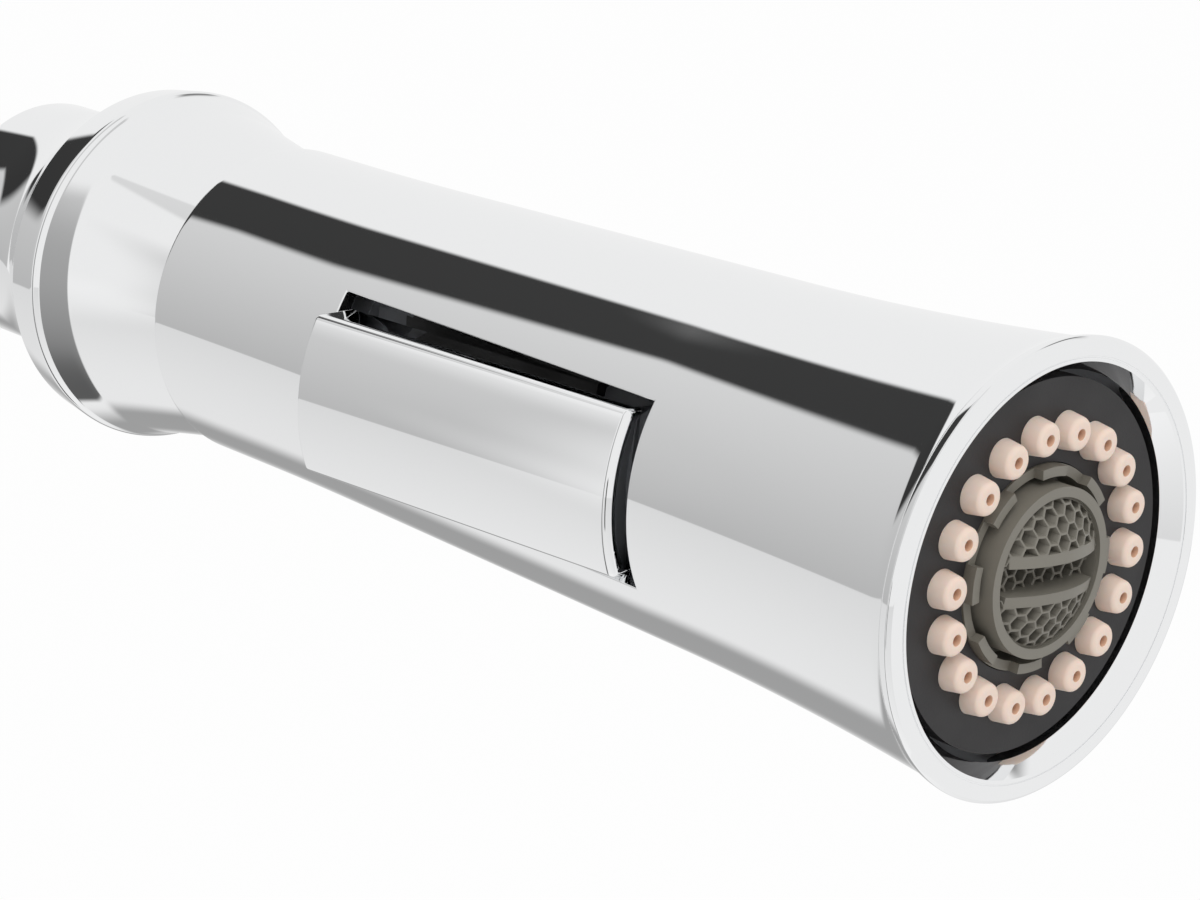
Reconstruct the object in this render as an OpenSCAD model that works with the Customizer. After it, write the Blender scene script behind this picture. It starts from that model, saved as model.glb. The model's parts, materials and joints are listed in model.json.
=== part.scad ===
// Pull-out spray head of a flexible-hose kitchen faucet, with the collar its hose screws into.
// Millimetres. +X runs from the hose inlet to the outlet, the rocker faces -Y, +Z is up.

/* [Sub-part] */
// which sub-part to draw, or all of them

/* [Collar] */
// radius of the rear cylinder, which docks in the faucet's spout
tail_r = 13.9; // [12:0.1:16]
// length of the straight part of the rear cylinder
tail_len = 7; // [5:0.5:10]
// length of the rear sweep
sweep_len = 14; // [11:0.5:17]
// how far the rear sweep rises
sweep_rise = 5.3; // [4:0.1:6]
// length of the flange band
band_len = 4.1; // [3:0.1:6]
// rise of the flange band to its front edge
band_rise = 0.6; // [0.2:0.1:1]
// size of the bevel on the flange's front edge
flange_bevel = 0.3; // [0.1:0.1:0.6]
// length of the sloping part in front of the flange
slope_len = 3.6; // [2.5:0.1:5]
// how far that slope drops
slope_drop = 1.14; // [0.8:0.02:1.6]
// length of the front sweep down to the neck
cove_len = 13; // [10:0.5:15]
// how far the neck lies inside the head's waist
neck_step = 0.45; // [0.35:0.05:0.8]
// length of the neck
neck_len = 1.2; // [0.8:0.1:3]
// wall radius of the hose thread, plain
socket_r = 9.3; // [9:0.1:10]
// depth of the hose thread
socket_len = 12; // [8:1:14]
// depth of the run-out behind the thread
relief_step = 0.2; // [0.1:0.05:0.4]

/* [Swivel] */
// how much thicker the stem is where the collar holds it
held_step = 0.1; // [0.05:0.05:0.3]
// wall of the stem
stem_wall = 3; // [2.4:0.1:3.6]
// radius of the water bore in the stem
stem_bore_r = 4.5; // [3.5:0.1:5]
// length of the stem ahead of the clip
stem_tail = 1.2; // [0.8:0.1:2]
// thickness of the stem's rear flange
stem_flange = 2; // [1.5:0.5:3]
// radial gap between the stem and the bush the head turns on
turn_gap = 0.05; // [0.02:0.01:0.1]
// radial gap between a moving seal and its bore
seal_gap = 0.03; // [0.02:0.01:0.05]
// radius of a large seal's cord
seal_cord = 0.7; // [0.5:0.05:0.9]
// width of a seal groove
groove_w = 1.8; // [1.5:0.1:2.2]
// distance from the bush's rear face to the rear stem seal
seal_rear_at = 2.5; // [2:0.1:3]
// spacing of the two stem seals
seal_step = 3.8; // [3:0.1:4.4]
// gap between the bush and the retaining clip
clip_gap = 0.3; // [0.2:0.05:0.5]
// thickness of the retaining clip
clip_t = 1; // [0.8:0.1:1.2]
// how far the clip stands out of the stem
clip_lap = 1.4; // [1:0.1:1.8]
// depth of the clip's groove
clip_bite = 1.2; // [0.8:0.1:1.5]
// width of the opening in the retaining clip
clip_mouth = 9; // [6:0.5:10]
// thickness of the washer between collar and head
turn_washer_t = 0.6; // [0.4:0.1:0.8]
// outer radius of that washer
turn_washer_r = 12; // [11:0.1:14]
// gap between the head and the collar and its washer
turn_face_gap = 0.3; // [0.2:0.05:0.5]

/* [Hose end] */
// thickness of the hose washer
hose_washer_t = 2; // [1.5:0.1:2]
// hole radius of the hose washer
hose_washer_bore = 5.2; // [4.5:0.1:5.6]
// how much wider than the stem's bore the strainer's seat is
strainer_step = 1.5; // [1:0.1:2]
// depth of the strainer
strainer_len = 3; // [2:0.5:4]
// thickness of the strainer's rim
strainer_rim = 0.8; // [0.6:0.1:1]
// thickness of the strainer's floor
strainer_floor = 0.8; // [0.6:0.1:1.2]
// radius of one strainer hole
strainer_hole = 0.5; // [0.4:0.05:0.7]
// spacing of the strainer holes
strainer_pitch = 1.45; // [1.3:0.05:1.8]

/* [Head shell] */
// radial room between the waterway and the shell
way_gap = 2.75; // [2:0.05:3.5]
// length of the straight waist behind the rocker
waist_len = 16.5; // [10:0.1:25]
// how far the taper rises up to the flare
taper_rise = 1.3; // [0.8:0.05:2]
// length of the flare
flare_len = 33.8; // [28:0.1:36]
// radius of the arc of the flare
flare_arc = 350; // [300:10:500]
// wall thickness of the shell
shell_wall = 1.6; // [1.2:0.1:2]
// thickness of the shell's rear wall
rear_wall = 2; // [1.5:0.1:2.5]
// radial gap between the shell's rear hole and the stem
rear_gap = 0.7; // [0.4:0.1:1.2]
// gap behind the rocker, along the head
slot_gap_rear = 1.4; // [1:0.1:2.5]
// gap in front of the rocker, along the head
slot_gap_front = 2.2; // [1.6:0.1:3]
// least gap beside the rocker
slot_gap_side = 0.4; // [0.3:0.05:0.8]

/* [Outlet rim] */
// length of the rim ahead of the shell
rim_len = 1.2; // [0.8:0.1:2]
// how far the rim's edge stands out of the flare's end
rim_step = 0.41; // [0.2:0.01:0.8]
// radius of the rim's rounded edge
rim_edge = 0.4; // [0.2:0.05:0.6]
// distance from the rim's edge in to the skirt
skirt_inset = 2.2; // [1.8:0.1:2.6]
// wall of the skirt inside the shell
skirt_wall = 1.12; // [0.8:0.02:1.6]
// length of the skirt
skirt_len = 6.8; // [5:0.1:9]
// depth of the recess cone's rear edge below the rim
cone_depth = 1.84; // [1.4:0.02:2.4]
// how far the recess cone widens
cone_rise = 0.98; // [0.6:0.02:1.4]
// size of the bevel between recess cone and face
cone_lip = 0.13; // [0.05:0.01:0.3]
// distance from the recess cone out to the fine line
line_at = 0.46; // [0.3:0.02:0.8]
// width of that line
line_w = 0.14; // [0.08:0.02:0.3]
// depth of that line
line_depth = 0.12; // [0.05:0.01:0.2]

/* [Spray face] */
// radial gap round the dark spray plate
plate_gap = 0.68; // [0.3:0.02:1]
// depth of the spray plate below the rim
plate_inset = 2.05; // [1.5:0.05:3]
// thickness of the spray plate
plate_t = 2.2; // [1.5:0.1:3]
// radial gap between the plate and the aerator
plate_clear = 0.09; // [0.05:0.01:0.3]
// number of spray nozzles
nozzle_n = 18; // [12:1:24]
// distance from the plate's opening out to the nozzle circle
nozzle_out = 2.84; // [2.2:0.02:3.6]
// radius of a nozzle at the plate
nozzle_base = 1.75; // [1.4:0.05:2]
// how much thinner a nozzle is at its tip
nozzle_taper = 0.37; // [0.2:0.01:0.6]
// how far the nozzles stand out of the plate
nozzle_len = 1.85; // [1.4:0.05:2.5]
// radius of a jet hole
jet_r = 0.43; // [0.3:0.01:0.6]
// radius of the wider bore behind a jet hole
jet_feed_r = 0.9; // [0.7:0.05:1.1]
// length of a jet hole
jet_len = 1.3; // [1:0.1:2]
// thickness of the nozzle mat
mat_t = 1.5; // [1:0.1:2]
// how far the mat lies inside the plate's edge
mat_inset = 0.6; // [0.3:0.1:1]
// radial gap between the mat and the aerator
mat_clear = 0.65; // [0.4:0.05:0.9]

/* [Spray chamber] */
// distance from the rocker's flat to the waterway's front flange
flange_gap = 0.5; // [0.3:0.1:1]
// length of the spray chamber
chamber_len = 24.25; // [22:0.05:27]
// how far the spray chamber lies inside the skirt's bore
chamber_step = 1.38; // [1:0.02:2]
// wall thickness of the spray chamber
chamber_wall = 1.4; // [1:0.1:2]
// thickness of the spray chamber's rear disc
chamber_floor = 4; // [3:0.5:5]
// wall thickness of its middle tube
tube_wall = 0.95; // [0.8:0.05:1.2]
// radius of the stream port
port_r = 3.2; // [2.5:0.1:4]
// length of the stream port in the chamber
port_len = 3; // [2:0.5:4]
// width of the washer behind the aerator
washer_w = 2.85; // [2:0.05:3.5]
// depth of the aerator's seat in the chamber
seat_depth = 11; // [9:0.5:13]
// land between the inner face seal and the ring groove
seal_land = 0.85; // [0.6:0.05:1.2]
// width of the ring groove that feeds the chamber
feed_w = 3.6; // [3:0.1:4]
// depth of the ring groove
feed_depth = 1.5; // [1:0.1:2]
// number of feed holes
feed_n = 6; // [4:1:8]
// radius of a feed hole
feed_hole = 1.2; // [0.8:0.1:1.4]
// distance from a feed hole out to the groove's wall
feed_inset = 0.3; // [0.2:0.05:0.6]
// radius of a face seal's cord
face_cord = 0.45; // [0.3:0.05:0.6]
// distance from the ring groove to the middle of the outer face seal
outer_land = 0.7; // [0.6:0.05:1]
// distance from the valve chamber to the middle of the inner face seal
inner_land = 0.9; // [0.7:0.05:1.2]

/* [Aerator] */
// wall of the housing's castellated end
mouth_wall = 0.9; // [0.7:0.05:1.2]
// radial gap between that end and the cup
mouth_gap = 0.7; // [0.4:0.05:1]
// length of the castellated mouth
mouth_len = 3.6; // [2:0.1:5]
// thickness of the washer behind the aerator
washer_t = 2; // [1.5:0.1:3]
// thickness of the lip inside the housing's rear end
housing_lip = 1.5; // [1:0.1:2]
// width of that lip
lip_w = 0.82; // [0.6:0.02:1.2]
// height of the lugs
castle_step = 1; // [0.6:0.05:1.5]
// depth of the lugs below the rim
castle_inset = 0.9; // [0.5:0.05:1.5]
// number of lugs
castle_n = 8; // [6:1:12]
// angle that one lug covers
castle_arc = 21; // [15:1:30]
// wall of the aerator cup
cup_wall = 0.93; // [0.7:0.01:1.2]
// inner radius of the aerator cup
cup_bore = 6.82; // [6.5:0.02:7.2]
// thickness of the cup's floor
cup_floor = 1.5; // [1:0.1:2]
// width of the ring left of the cup's floor
cup_lip = 2.22; // [1.8:0.02:2.6]
// radius of the dome the outlet grid follows
dome_r = 13.7; // [12:0.1:16]
// how far the dome's crest stands out of the rim
dome_rise = 1.39; // [1:0.01:2]
// thickness of the honeycomb at the dome's crest
comb_t = 5.39; // [4.5:0.01:7]
// spacing of the honeycomb cells
comb_pitch = 1.52; // [1.3:0.02:2]
// thickness of the honeycomb walls
comb_wall = 0.28; // [0.2:0.02:0.5]
// solid rim of the honeycomb
comb_rim = 0.2; // [0.15:0.05:0.6]
// half the width of the coin slot
coin_half = 1.26; // [1:0.02:1.5]
// width of the bars beside the coin slot
bar_w = 0.96; // [0.7:0.02:1.2]
// depth of the coin slot below the dome's crest
coin_depth = 2.6; // [2:0.1:4]
// distance from the coin slot's ends to the cup
coin_margin = 0.92; // [0.5:0.02:1.5]
// thickness of one screen
screen_t = 0.4; // [0.3:0.05:0.6]
// gap between the two screens
screen_gap = 0.8; // [0.5:0.1:1.2]
// width of the screens' rim and of the rings that space the stack
stack_rim = 0.8; // [0.5:0.1:1.2]
// spacing of the screen holes
screen_pitch = 1.5; // [1.2:0.1:2]
// radius of a screen hole
screen_hole = 0.5; // [0.3:0.05:0.7]
// thickness of the flow regulator
regulator_t = 2; // [1.5:0.1:3]
// number of ports in the flow regulator
regulator_n = 6; // [4:1:8]
// radius of a regulator port
regulator_hole = 0.9; // [0.6:0.1:1.2]
// radius of the circle of regulator ports
regulator_pcr = 3.4; // [2.5:0.1:4.5]

/* [Waterway] */
// thickness of the bush's rear flange
bush_flange_t = 3.4; // [2.5:0.1:4.5]
// wall outside the spray channels
way_wall = 0.5; // [0.4:0.1:1]
// depth of the flat under the rocker
flat_cut = 2.9; // [2.5:0.1:3.3]
// distance from the rear chamber to that flat
flat_gap = 0.4; // [0.3:0.1:1]
// how far the flat runs on past the rocker opening
flat_extra = 0.4; // [0.2:0.1:1]
// land outside the outer face seal
flange_land = 0.25; // [0.2:0.05:0.5]
// thickness of the front flange
way_flange_t = 3; // [2:0.5:3.5]
// wall of the socket that takes the bush
socket_wall = 2; // [1.6:0.1:2.6]
// distance from the stem's end to the check valve
check_gap = 1; // [0.6:0.1:1.6]
// how much smaller than the bush the check valve is
check_step = 1.9; // [1.4:0.1:2.4]
// length of the chamber ahead of the check valve
room_len = 3; // [2:0.1:4]
// wall outside an inlet gallery
gallery_wall = 1; // [0.8:0.1:1.4]
// radius of an inlet gallery
gallery_r = 2.2; // [1.8:0.1:2.4]
// angle of the galleries from +Y
gallery_turn = 35; // [30:1:40]
// how far the galleries reach back into that chamber
gallery_back = 2.5; // [1.5:0.1:2.8]
// how far the galleries reach past the valve chamber's rear wall
gallery_reach = 4.1; // [3.6:0.1:5]
// radius of the passage from gallery to valve chamber
gallery_cross_r = 1.1; // [1:0.1:1.6]
// radius of the spool bore
spool_bore = 4.55; // [4.4:0.05:4.7]
// room behind the spool
spool_room = 2.3; // [1.5:0.1:3]
// distance from the spool's front land to the valve chamber
land_gap = 1.1; // [0.8:0.1:1.6]
// radial gap round the valve disc
disc_clear = 0.4; // [0.3:0.05:0.6]
// how far the spray ports lie inside the valve disc's edge
port_in = 1.1; // [1:0.05:1.3]
// radius of a spray port
spray_port_r = 1; // [0.8:0.1:1.1]
// depth of a spray port
spray_port_len = 3; // [2:0.5:4]
// how far the spray channels lie outside the valve chamber
channel_out = 3.3; // [3:0.1:3.6]
// radius of a spray channel
channel_r = 1.3; // [1:0.1:1.5]
// half the length of the lever window
window_len = 3.2; // [3:0.1:3.6]
// half the width of the lever window
window_half = 2.2; // [2:0.1:3]

/* [Bush and check valve] */
// length of the bush
bush_len = 8.9; // [8:0.1:10]
// distance from the bush's flange to its outer seal
bush_seal_at = 2.8; // [2.4:0.1:3.6]
// length of the check valve's housing
check_len = 9; // [8:0.5:10]
// thickness of the check valve's seat wall
check_seat_t = 2; // [1.5:0.1:2.5]
// hole radius of the check valve's seat
check_port = 4; // [3:0.1:4.4]
// wall of the check valve
check_wall = 2; // [1.6:0.1:2.4]
// thickness of the check valve's front wall
check_front_t = 1.5; // [1:0.1:2]
// radius of the poppet's guide hole
guide_r = 1.25; // [1.1:0.05:1.4]
// number of water holes in the front wall
check_hole_n = 5; // [4:1:6]
// radius of such a hole
check_hole = 1.4; // [1:0.1:1.6]
// radius of their circle
check_hole_pcr = 4.6; // [4.2:0.1:5]
// how far the poppet laps over the seat's hole
poppet_lap = 1.2; // [0.8:0.1:1.6]
// thickness of the poppet
poppet_t = 1.5; // [1:0.1:2]
// gap between poppet and seat
poppet_gap = 0.3; // [0.2:0.05:0.5]
// radial gap between the poppet's stem and its guide
guide_gap = 0.05; // [0.02:0.01:0.1]
// how far the poppet's stem stands out of the front wall
poppet_tail = 0.3; // [0.2:0.1:1]
// middle radius of the check spring
spring_r = 2.5; // [2.2:0.1:3]
// width and thickness of the check spring's wire
spring_wire = 0.4; // [0.3:0.05:0.5]
// turns of the check spring
spring_turns = 3; // [2:1:4]

/* [Rocker] */
// distance from the flat's rear end to the rocker's pivot
pivot_at = 23.1; // [22.6:0.1:25]
// height of the pivot over the flat
pivot_rise = 3.8; // [3.4:0.1:4.4]
// angle of the rocker's face against the axis, at rest
rest_tilt = 4.67; // [4:0.01:6]
// height of the rocker's face over its pivot
face_h = 6.83; // [6:0.01:7.5]
// radius of the rocker's curved face
face_r = 17.4; // [16:0.1:19]
// reach of the rocker to the rear of its pivot
cap_rear = 20.9; // [20:0.1:21.5]
// reach of the rocker to the front of its pivot
cap_front = 19.9; // [19:0.1:20.5]
// half the width of the rocker
cap_half = 7.95; // [7.6:0.05:8.2]
// how low the rocker sits in its opening
cap_drop = 0.5; // [0:0.1:0.6]
// radius of the rocker's long edges
cap_edge = 0.9; // [0.4:0.1:1.2]
// radius of the rocker's front edge
cap_nose = 1.3; // [0.6:0.1:2]
// radius of the rocker's rear edge
cap_heel = 0.6; // [0.4:0.1:1.5]
// depth of the rocker's skirt
cap_depth = 6.6; // [6:0.1:7]
// wall thickness of the rocker
cap_wall = 1.3; // [1:0.1:1.6]
// gap beside the lever carrier inside the cap
carrier_gap = 1.45; // [1:0.05:2]
// half the length of the lever carrier
carrier_len = 15; // [12:0.5:17]
// thickness of the lever carrier
carrier_t = 1.6; // [1.2:0.1:2]
// radius of the pivot barrel
barrel_r = 2.4; // [2:0.1:2.6]
// radius of the pin
pin_r = 1; // [0.8:0.05:1.2]
// radial gap between barrel and pin
pin_gap = 0.05; // [0.02:0.01:0.1]
// distance from pivot to the middle of the lever's tip
lever_arm = 10.4; // [9.5:0.1:11]
// lean of the lever at rest, half the rocker's travel
lever_lean = 6; // [5:0.5:7]
// half the thickness of the lever
lever_half = 1; // [0.8:0.1:1.2]
// half the width of the lever
lever_side = 1.5; // [1.2:0.1:1.8]
// radius of the lever's round tip
tip_r = 1.4; // [1.2:0.1:1.5]

/* [Rocker frame] */
// reach of the frame's plate to the rear of the pivot
frame_rear = 17.5; // [16.5:0.5:19]
// reach of the frame's plate to the front of the pivot
frame_front = 10; // [9:0.5:12]
// how far the frame's plate lies inside the rocker's side
frame_inset = 0.35; // [0.1:0.05:0.8]
// thickness of the frame's plate
frame_t = 1.2; // [1:0.1:1.4]
// gap between the pivot barrel and a pin lug
lug_gap = 0.3; // [0.2:0.05:0.5]
// width of a pin lug
lug_w = 1.65; // [1.4:0.05:2]
// gap between a pin lug and the cap
lug_room = 0.3; // [0.2:0.05:0.5]
// radius of the pin lugs
lug_r = 2.2; // [2:0.1:2.5]
// distance of the frame screws from the pivot, to the rear
screw_rear_at = 14.5; // [12:0.5:15]
// distance of the frame screws from the pivot, to the front
screw_front_at = 7; // [6:0.5:8]
// radius of a screw's shank
screw_r = 0.9; // [0.7:0.05:1.1]
// radius of a screw's head
screw_head_r = 1.7; // [1.5:0.1:2]
// height of a screw's head
screw_head_t = 0.8; // [0.6:0.1:1]
// length of a screw's shank
screw_len = 4.2; // [3.5:0.1:4.5]
// size of the square driver recess
drive_w = 1.1; // [0.8:0.1:1.4]
// depth of the driver recess
drive_depth = 0.5; // [0.3:0.1:0.6]

/* [Diverter spool] */
// radial gap between the spool and its bore
spool_gap = 0.05; // [0.02:0.01:0.1]
// reach of the spool to the rear of the pivot
spool_rear = 9.7; // [9:0.1:10.2]
// reach of the spool's front land to the front of the pivot
land_front = 9.4; // [9:0.1:10]
// radius of the core in the lever groove
core_r = 1.3; // [1.2:0.1:1.6]
// clearance on each side of the lever's tip
tip_gap = 0.05; // [0.02:0.01:0.1]
// radius of the neck behind the valve disc
spool_neck_r = 2.6; // [2:0.1:3]
// how far the valve disc laps over the spool bore
disc_lap = 2.45; // [2.2:0.05:2.8]
// thickness of the valve disc
disc_t = 1.4; // [1:0.1:2]
// thickness of the rubber on each side of the disc
disc_rubber = 0.8; // [0.5:0.1:1]
// gap left between the rubber and its seat at each end of the travel
seat_gap = 0.3; // [0.2:0.05:0.4]
// radius of the spool seals' cord
spool_cord = 0.6; // [0.5:0.05:0.7]
// width of the spool seals' grooves
spool_groove = 1.5; // [1.3:0.1:1.8]
// distance from the spool's rear end to its rear seal
seal_in_rear = 3.2; // [2.4:0.1:4]
// distance from the front land's end to its seal
seal_in_front = 3.9; // [3:0.1:4.5]

/* [Hidden] */

// how far a cutting shape runs past what it cuts
over = 1;
// true round
$fn = 64;
// true round for arcs as long as the flare
fine_round = 1440;

chrome = [0.85, 0.86, 0.87];
brass = [0.78, 0.62, 0.32];
rubber = [0.12, 0.12, 0.12];
plastic = [0.55, 0.57, 0.60];
dark_plastic = [0.23, 0.23, 0.23];
olive = [0.42, 0.41, 0.36];
peach = [0.91, 0.82, 0.76];
steel = [0.72, 0.73, 0.75];

// collar, from the hose inlet forwards
relief_r = socket_r + relief_step;
floor_x = socket_len + hose_washer_t + stem_flange;
band_x = tail_len + sweep_len;
band_r = tail_r + sweep_rise;
flange_x = band_x + band_len;
flange_r = band_r + band_rise;
front_top = flange_r - flange_bevel;
front_start = flange_x + flange_bevel;
slope_end = front_start + slope_len;
neck_x = slope_end + cove_len;
collar_end = neck_x + neck_len;
head_x = collar_end + turn_face_gap;
pocket_end = head_x + turn_washer_t;
inner_face = pocket_end + rear_wall;

// stem and what it carries
stem_r = stem_bore_r + stem_wall;
stem_held_r = stem_r + held_step;
strainer_r = stem_bore_r + strainer_step;
stem_seal_mid = stem_r + turn_gap - seal_gap - seal_cord;
seal_rear_x = inner_face + seal_rear_at;
seal_front_x = seal_rear_x + seal_step;
way_x = inner_face + bush_flange_t;
bush_end = inner_face + bush_len;
bush_seal_x = way_x + bush_seal_at;
clip_x = bush_end + clip_gap;
clip_r = stem_r + clip_lap;
clip_floor_r = stem_r - clip_bite;
stem_end = clip_x + clip_t + stem_tail;
rear_hole_r = stem_r + rear_gap;

// check valve
check_x = stem_end + check_gap;
check_end = check_x + check_len;
room_x = check_x + check_seat_t;
room_end = check_end - check_front_t;
poppet_r = check_port + poppet_lap;
poppet_stem_r = guide_r - guide_gap;
poppet_x = room_x + poppet_gap;
poppet_face = poppet_x + poppet_t;
poppet_end = check_end + poppet_tail;
spring_len = room_end - poppet_face;
spring_pitch = spring_len / spring_turns;
spring_sector = 360 * spring_wire / spring_pitch;
check_seal_x = check_x + check_len / 2;

// stations of the waterway, the rocker and the spool
rear_room_x = check_end + room_len;
gallery_x = rear_room_x - gallery_back;
flat_x = rear_room_x + flat_gap;
pivot_x = flat_x + pivot_at;
slot_rear = pivot_x - cap_rear - slot_gap_rear;
slot_front = pivot_x + cap_front + slot_gap_front;
slot_half = cap_half + cap_drop + slot_gap_side;
flat_end = slot_front + flat_extra;
frame_x = pivot_x - frame_rear;
frame_end = pivot_x + frame_front;
frame_half = cap_half - frame_inset;
carrier_half = cap_half - cap_wall - carrier_gap;
lug_out = cap_half - cap_wall - cap_drop - lug_room;
lug_in = lug_out - lug_w;
barrel_half = lug_in - lug_gap;
spool_x = pivot_x - spool_rear;
spool_bore_x = spool_x - spool_room;
land_end = pivot_x + land_front;
valve_x = land_end + land_gap;
gallery_end = valve_x + gallery_reach;
chamber_x = flat_end + flange_gap + way_flange_t;

// radii, from the spool bore outwards
spool_r = spool_bore - spool_gap;
disc_r = spool_bore + disc_lap;
valve_r = disc_r + disc_clear;
spray_port_at = disc_r - port_in;
channel_at = valve_r + channel_out;
port_seal_r = valve_r + inner_land;
feed_in = port_seal_r + face_cord + seal_land;
feed_out = feed_in + feed_w;
feed_pcr = feed_out - feed_hole - feed_inset;
chamber_seal_r = feed_out + outer_land;
way_flange_r = chamber_seal_r + face_cord + flange_land;
way_r = channel_at + channel_r + way_wall;
bush_r = way_r - socket_wall;
check_r = bush_r - check_step;
check_room = check_r - check_wall;
gallery_at = way_r - gallery_r - gallery_wall;
flat_y = way_r - flat_cut;
frame_top = flat_y + frame_t;
pivot_y = flat_y + pivot_rise;
inner_waist = way_r + way_gap;
waist_r = inner_waist + shell_wall;
neck_r = waist_r - neck_step;
taper_r = waist_r + taper_rise;

// sweeps of the collar, tangent to the tail and to the neck
rear_rise = band_r - tail_r;
rear_run = band_x - tail_len;
rear_sweep_r = (rear_run * rear_run + rear_rise * rear_rise) / (2 * rear_rise);
slope_foot = front_top - slope_drop;
front_rise = slope_foot - neck_r;
front_run = neck_x - slope_end;
front_sweep_r = (front_run * front_run + front_rise * front_rise) / (2 * front_rise);

// aerator, from the cup's bore outwards
cup_r = cup_bore + cup_wall;
housing_mouth = cup_r + mouth_gap;
housing_r = housing_mouth + mouth_wall;
lip_bore = cup_bore - lip_w;
cup_hole = cup_bore - cup_lip;
coin_reach = cup_bore - coin_margin;
stream_r = housing_r - washer_w;

// stations of the spray face
seat_x = chamber_x + seat_depth;
housing_x = seat_x + washer_t;
mat_rear = chamber_x + chamber_len;
plate_rear = mat_rear + mat_t;
plate_face = plate_rear + plate_t;
nozzle_end = plate_face + nozzle_len;
jet_start = nozzle_end - jet_len;
rim_end = plate_face + plate_inset;
rim_start = rim_end - rim_len;
skirt_x = rim_start - skirt_len;
cone_x = rim_end - cone_depth;
cone_end = rim_end - cone_lip;
castle_top = rim_end - castle_inset;
castle_low = castle_top - castle_step;
dome_top = rim_end + dome_rise;
comb_x = dome_top - comb_t;

// head shell
waist_x = head_x + waist_len;
flare_x = rim_start - flare_len;
taper_slope = (taper_r - waist_r) / (flare_x - waist_x);
taper_angle = atan(taper_slope);
flare_mid_x = flare_x - flare_arc * sin(taper_angle);
flare_mid_r = taper_r + flare_arc * cos(taper_angle);
flare_end_r = flare_mid_r - sqrt(flare_arc * flare_arc - pow(rim_start - flare_mid_x, 2));
flare_room = 8;

// rim and spray face
rim_r = flare_end_r + rim_step;
skirt_r = rim_r - skirt_inset;
skirt_bore = skirt_r - skirt_wall;
cone_r = skirt_bore + cone_rise;
line_r = cone_r + line_at;
plate_r = skirt_bore - plate_gap;
plate_hole = housing_r + plate_clear;
nozzle_pcr = plate_hole + nozzle_out;
nozzle_tip = nozzle_base - nozzle_taper;
mat_r = plate_r - mat_inset;
mat_bore = housing_r + mat_clear;
chamber_r = skirt_bore - chamber_step;
inner_taper = taper_r - shell_wall;
inner_front = inner_taper + (flare_end_r - taper_r) * (skirt_x - flare_x) / (rim_start - flare_x);

// aerator stack
cup_x = housing_x + housing_lip;
stack_x = cup_x + cup_floor;
screens_x = stack_x + regulator_t;
screens_end = screens_x + 2 * screen_t + screen_gap;
stack_bore = cup_bore - stack_rim;
cell_r = (comb_pitch - comb_wall) / 2 / cos(30);
cell_row = comb_pitch * sin(60);
comb_open = cup_bore - comb_rim;
comb_reach = comb_open + cell_r / 2;
comb_count = ceil(comb_reach / cell_row);

// lever tip and valve disc
tip_x = pivot_x - lever_arm * sin(lever_lean);
travel = 2 * lever_arm * lever_lean * PI / 180;
groove_rear = tip_x - tip_r - tip_gap;
groove_front = tip_x + tip_r + tip_gap;
rubber_x = valve_x + seat_gap;
disc_x = rubber_x + disc_rubber;
disc_end = disc_x + disc_t;
rubber_end = disc_end + disc_rubber;
lip_x = rubber_end + travel + seat_gap;
spool_seal_mid = spool_bore - seal_gap - spool_cord;
spool_seal_rear_x = spool_x + seal_in_rear;
spool_seal_front_x = land_end - seal_in_front;

// rocker
cap_mid_y = face_r - face_h;
cap_bottom = cap_depth - face_h;
ceiling_r = face_r - cap_wall;
edge_z = cap_half - cap_edge;
edge_y = sqrt(pow(face_r - cap_edge, 2) - edge_z * edge_z);
meet_z = edge_z * face_r / (face_r - cap_edge);
meet_y = edge_y * face_r / (face_r - cap_edge);
carrier_y = cap_wall + carrier_t - face_h;

// turn a half section drawn as [radius, x] about the part's axis
module spun() {
    rotate([0, 90, 0])
        rotate_extrude()
            children();
}

// plain rod along the axis
module rod(x0, x1, r) {
    translate([x0, 0, 0])
        rotate([0, 90, 0])
            cylinder(h = x1 - x0, r = r);
}

// plain tube along the axis
module tube(x0, x1, inner, outer) {
    difference() {
        rod(x0, x1, outer);
        rod(x0 - over, x1 + over, inner);
    }
}

// round seal about the axis
module seal(x, mid, cord) {
    spun()
        translate([mid, x])
            circle(r = cord);
}

// rod at a distance from the axis, at an angle from +Y
module off_rod(x0, x1, r, at, turn) {
    rotate([turn, 0, 0])
        translate([0, at, 0])
            rod(x0, x1, r);
}

// round bar along Z at a place in the XY plane
module cross_bar(x, y, r, z0, z1) {
    translate([x, y, z0])
        cylinder(h = z1 - z0, r = r);
}

// field of holes in rows, as far out as reach
module hole_field(x0, x1, pitch, hole, reach) {
    row_step = pitch * sin(60);
    rows = ceil(reach / row_step);
    for (i = [-rows : rows], k = [-rows : rows]) {
        y = i * row_step;
        z = (k + abs(i % 2) / 2) * pitch;
        if (sqrt(y * y + z * z) < reach)
            translate([0, y, z])
                rod(x0, x1, hole);
    }
}

// collar with its docking cylinder, flange, neck and hose socket
module collar() {
    color(chrome)
        spun()
            difference() {
                polygon([
                    [stem_held_r, floor_x],
                    [relief_r, floor_x],
                    [relief_r, socket_len],
                    [socket_r, socket_len],
                    [socket_r, 0],
                    [tail_r, 0],
                    [tail_r, tail_len],
                    [band_r, tail_len],
                    [band_r, band_x],
                    [flange_r, flange_x],
                    [front_top, front_start],
                    [slope_foot, slope_end],
                    [slope_foot, neck_x],
                    [neck_r, neck_x],
                    [neck_r, collar_end],
                    [stem_held_r, collar_end]
                ]);
                translate([tail_r + rear_sweep_r, tail_len])
                    circle(r = rear_sweep_r);
                translate([neck_r + front_sweep_r, neck_x])
                    circle(r = front_sweep_r);
            }
}

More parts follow.
